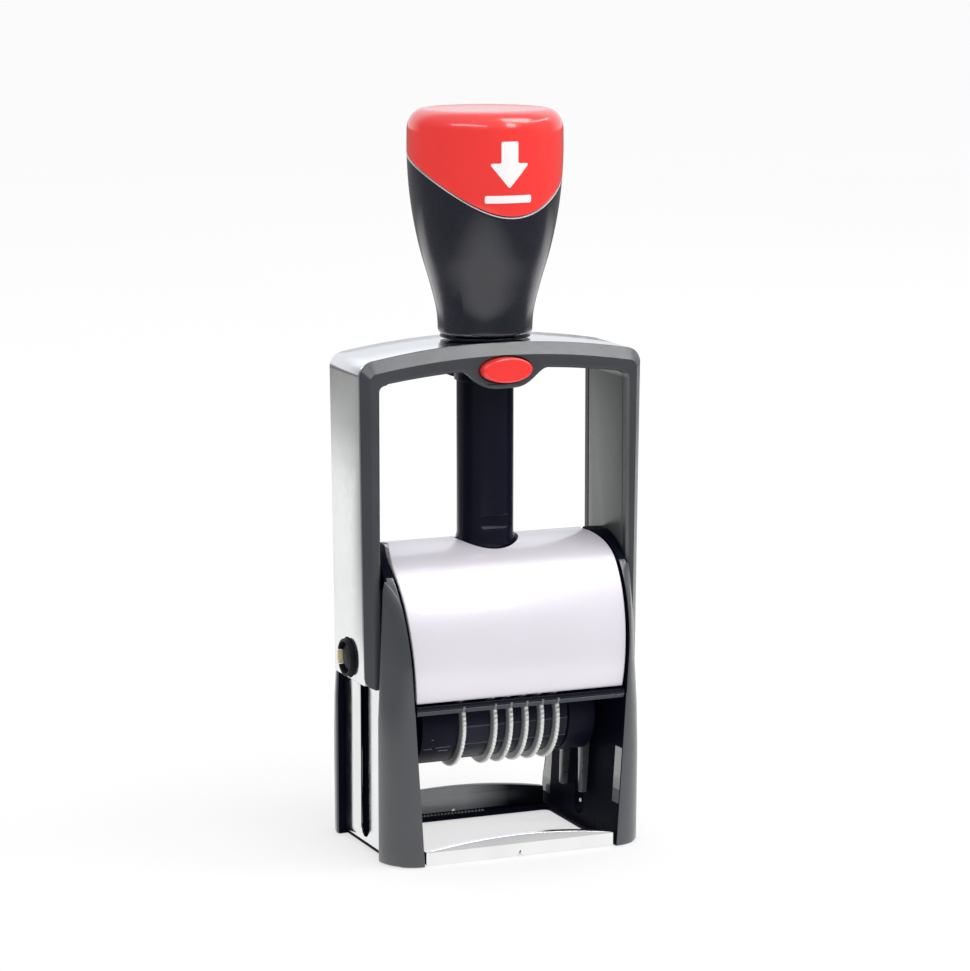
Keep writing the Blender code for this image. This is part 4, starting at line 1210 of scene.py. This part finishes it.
def number_band(index, low, high):
    """Rubber band with a flat pad for each digit and a fine groove between the pads, painted
    lighter as a glint.
    """
    outer, inner = loop_outline(BAND_R, 1.8), loop_outline(8.6, 0.9)
    total, pads, groove, depth, tries = loop_length(outer), 20, 0.16, 0.14, 400
    pitch, bend_z, seam_z = total / pads, 42.0, 23.0
    start = next(at for at in (k * total / tries for k in range(tries))
                 if abs(along_loop(outer, at).y - seam_z) < 0.3
                 and along_loop(outer, at).x < WHEEL_Y)
    shape, grooves = [], []
    for pad in range(pads):
        for share in (0.0, 0.35, 0.65, 1.0):
            at = start + pad * pitch + groove + (pitch - 2.0 * groove) * share
            shape.append(tuple(along_loop(outer, at)))
        bottom = along_loop(outer, start + (pad + 1) * pitch)
        pull = Vector((0.0, ANVIL_Z) if bottom.y > bend_z else WHEEL_AT) - bottom
        grooves.append(bottom + pull.normalized() * depth)
        shape.append(tuple(grooves[-1]))

    def choose(centre, normal):
        # faces in the grooves take the lighter grey: painted glint lines
        near = min((Vector((centre.y, centre.z)) - groove).length for groove in grooves)
        return near < 0.14 and abs(normal.x) < 0.5

    slab(f"number_band_{index}", [shape, inner], "X", low, high, [RUBBER, GROOVE], 0.06, 2,
         sharp=14.0, choose=choose)


def end_block(word):
    """Housing at one end of the unit, with small moulding marks on the left one."""
    low, high = span(word + "_end_block", "X")
    shape = hull(arc(*WHEEL_AT, 9.3, 64) + arc(-4.0, 45.6, 1.2, 16) + arc(4.0, 45.6, 1.2, 16))
    bores = [arc(*AXLE, 2.35, 48), arc(*WHEEL_AT, 1.85, 32)]
    slab(word + "_end_block", [shape] + bores, "X", low, high, BLOCK, 0.3)
    if word == "right":
        return
    marks = ((low + 0.8, low + 2.6, 0.52, 0.07), (low + 3.4, high - 1.6, 0.5, 0.06),
             (low + 4.2, high - 2.0, 0.6, 0.1), (low + 2.3, low + 2.7, 0.28, 0.1))
    shapes = []
    for left, right, drop, width in marks:
        turn, sunk, proud = math.pi + drop, 9.25, 9.38
        strip = [(WHEEL_Y + r * math.cos(turn + t), WHEEL_Z + r * math.sin(turn + t))
                 for r, t in ((sunk, -width / 9), (proud, -width / 18), (proud, width / 18),
                              (sunk, width / 9))]
        shapes.append(slab_shape([strip], "X", left, right))
    piece("end_block_marks", joined(shapes), TICK, on="left_end_block")


def printing_unit():
    for index, slot in enumerate(WHEEL_SLOTS, start=1):
        following = WHEEL_SLOTS[index] if index < len(WHEEL_SLOTS) else slot + 1
        drum_end = following * WHEEL_PITCH - WHEEL_HALF - GAP
        number_wheel(index, slot * WHEEL_PITCH, drum_end)
        number_band(index, slot * WHEEL_PITCH + WHEEL_HALF + GAP, drum_end)
    for _, word in SIDES:
        end_block(word)
        rod(word + "_cam_pin", 1.1, (-CRANK, AXLE_Z), 0.15)
    nose = (arc(-ANVIL_HALF_Y, ANVIL_Z, 0.6, 16) + arc(ANVIL_HALF_Y, ANVIL_Z, 0.6, 16)
            + [(-2.8, 45.6), (2.8, 45.6)])
    slab("anvil", [hull(nose)], "X", *span("anvil", "X"), PIN, 0.1)
    rod("wheel_pin", 1.5, WHEEL_AT, 0.2)


# ---- pad drawer ----
def pad_drawer():
    """Shelf, tray, inked pad, and a ribbed grip that closes the hood at the rear."""
    half, wall, lip, top = 24.2, 23.1, 21.4, span("pad_shelf", "Z")[1]
    shelf = [(-half, 50.2), (-lip, 50.2), (-lip, 51.0), (-wall, 51.0), (-wall, 56.3),
             (wall, 56.3), (wall, 51.0), (lip, 51.0), (lip, 50.2), (half, 50.2), (half, top),
             (-half, top)]
    tray = [(-22.8, 51.3), (-17.6, 51.3), (-17.6, 53.2), (17.6, 53.2), (17.6, 51.3),
            (22.8, 51.3), (22.8, 52.3), (21.0, 52.3), (21.0, 55.9), (-21.0, 55.9),
            (-21.0, 52.3), (-22.8, 52.3)]
    for name, outline, ends in (("pad_shelf", shelf, (-11.0, 11.0)),
                                ("pad_tray", tray, (-10.4, 12.7))):
        slab(name, [fillet(outline, 0.15, 3)], "Y", *ends, DEEP, 0.15)
    slab("ink_pad", [fillet(box(17.3, -9.4, 9.4), 0.8, 6)], "Z", *span("ink_pad", "Z"), FELT,
         0.5, 5)
    first, last = hood_angle(40.6), hood_angle(58.3)
    grip = fillet(hood_outline(first, last, 1.6, 32), 0.5, 5, smooth_angle=40.0)
    slab("pad_grip", [grip], "X", -22.0, 22.0, BLACK, 0.5, 4, sharp=45.0)
    shapes = []
    for k in range(5):
        turn = first + (last - first) * (0.2 + 0.13 * k)
        y, z = COVER_DEPTH * math.cos(turn) - 0.12, RIM_CENTRE_Z + RIM_RISE * math.sin(turn)
        shapes.append(sweep_shape([Vector((x, y, z)) for x in (-12.0, -11.8, 11.8, 12.0)], 0.3,
                                  12))
    piece("pad_grip_ridges", joined(shapes), BLACK, 60.0, on="pad_grip")


# ---- stage ----
def floor():
    """Pale floor; what gloss sees of it falls off away from the object."""
    n = surface("pale_floor")
    place = n.add("NewGeometry", output="Position")
    ahead = n.measure("DOT_PRODUCT", place, VIEW_AHEAD)
    across = n.measure("DOT_PRODUCT", place, VIEW_LEFT)
    narrow = n.ramp(ahead, 0.05, 0.25, 2.4, 1.0)
    both = n.add("CombineXYZ", {0: n.maths("SUBTRACT", ahead, 0.15),
                                1: n.maths("MULTIPLY", across, narrow)})
    fall = n.ramp(n.measure("LENGTH", both), 0.36, 0.56, 1.0, GLOSS_DIM)
    tone = n.blend(n.noise(3.0, 2.0), (FLOOR_TONE - 0.01,) * 3, (FLOOR_TONE + 0.01,) * 3)
    n.set(Base_Color=tone, Roughness=1.0, Specular_IOR_Level=0.0,
          Emission_Color=WHITE[:3], Emission_Strength=FLOOR_GLOW)
    sheet = n.add("Emission", {"Strength": fall, "Color": WHITE})
    mixed = n.glossy_mix(n.shader.outputs[0], sheet)
    n.tree.links.new(mixed, n.tree.nodes["Material Output"].inputs["Surface"])
    bpy.ops.mesh.primitive_circle_add(vertices=64, radius=12.0, fill_type="NGON",
                                      location=(0.0, 0.0, -0.0002))
    made = bpy.context.object
    made.name = "floor"
    made.data.materials.append(n.owner)


def studio():
    """White surroundings; gloss sees them darker in front of the object than behind and above."""
    n = Nodes(bpy.data.worlds.new("studio"))
    bpy.context.scene.world = n.owner
    n.tree.nodes.clear()
    direction = n.add("TexCoord", output="Generated")
    behind = n.ramp(n.measure("DOT_PRODUCT", direction, VIEW_AHEAD), 0.35, 0.68, GLOSS_DIM,
                    GLOSS_BRIGHT)
    height = n.add("SeparateXYZ", {0: direction}, "Z")
    glow = n.maths("ADD", behind, n.ramp(height, 0.3, 0.95, 0.0, GLOSS_ABOVE))
    plain = n.add("Background", {"Color": WHITE, "Strength": AMBIENT})
    seen = n.add("Background", {"Color": (0.93, 0.95, 1.0, 1.0), "Strength": glow})
    n.add("OutputWorld", {0: n.glossy_mix(plain, seen)})


def softbox(name, direction, distance, width, height, brightness, along=(1.0, 0.0, 0.0),
            glossy=True):
    """Rectangular light in a direction from the object; brightness is its radiance. It lights
    either reflections or all the rest."""
    back = Vector(direction).normalized()
    across = (Vector(along) - back * back.dot(Vector(along))).normalized()
    lamp = bpy.data.lights.new(name, "AREA")
    lamp.shape = "RECTANGLE"
    lamp.size, lamp.size_y = width, height
    lamp.energy = brightness * math.pi * width * height
    made = placed(name, lamp)
    made.matrix_world = Matrix((across, back.cross(across), back)).transposed().to_4x4()
    made.location = Vector((0.0, 0.0, 0.06)) + back * distance
    made.visible_diffuse = not glossy
    made.visible_glossy = glossy


def camera():
    """Camera a little to the left of the front and a little above, aimed at mid-height."""
    yaw, pitch, distance, aim_z = math.radians(22.8), math.radians(9.726), 0.7795, 0.07564
    ahead = Vector((math.sin(yaw) * math.cos(pitch), math.cos(yaw) * math.cos(pitch),
                    -math.sin(pitch)))
    data = bpy.data.cameras.new("camera")
    data.lens, data.sensor_width = 137.1, 36.0
    data.clip_start, data.clip_end = 0.01, 50.0
    made = placed("camera", data)
    made.location = Vector((0.0, 0.0, aim_z)) - ahead * distance
    made.rotation_mode = "QUATERNION"
    made.rotation_quaternion = ahead.to_track_quat("-Z", "Y")
    bpy.context.scene.camera = made


camera()
for side, word in SIDES:
    side_frame(side, word)
    side_plate(side, word)
wall_nub()
cam_ribs()
guide_bar("front_guide_bar", -19.4, -17.6, 2.9, 4.7, [BAR])
# the rear bar's front faces carry the painted reflection; its other faces are gloss black
guide_bar("rear_guide_bar", 17.6, 19.4, 4.2, 6.1, [REAR, BLACK])
for make in (window_frame, cover, index_bar, guide_post, return_spring, stirrup):
    make()
trim(-1, "front_trim")
trim(1, "rear_trim")
for make in (lock_button, post_bushing, handle, handle_cap, cap_mark, pivots, printing_unit,
             pad_drawer, floor, studio):
    make()
softbox("overhead_box", (0.42, -0.35, 0.87), 1.0, 0.55, 0.34, 7.0)
softbox("front_box", (0.27, -0.68, 0.64), 1.0, 0.20, 0.28, 8.0)
softbox("left_box", (-0.55, -0.45, 0.67), 1.0, 0.85, 0.08, 8.0, (0.55, -0.65, 0.0))
softbox("right_box", (0.74, -0.06, 0.60), 1.0, 0.6, 0.07, 6.0, (0.17, 0.61, -0.14))
softbox("right_fill", (0.9, -0.3, 0.3), 1.0, 0.5, 0.5, 4.0, glossy=False)
softbox("fill", (0.3, -0.6, 0.8), 1.5, 1.2, 1.2, 1.0, glossy=False)
bpy.context.scene.view_settings.view_transform = "Standard"
bpy.context.view_layer.update()
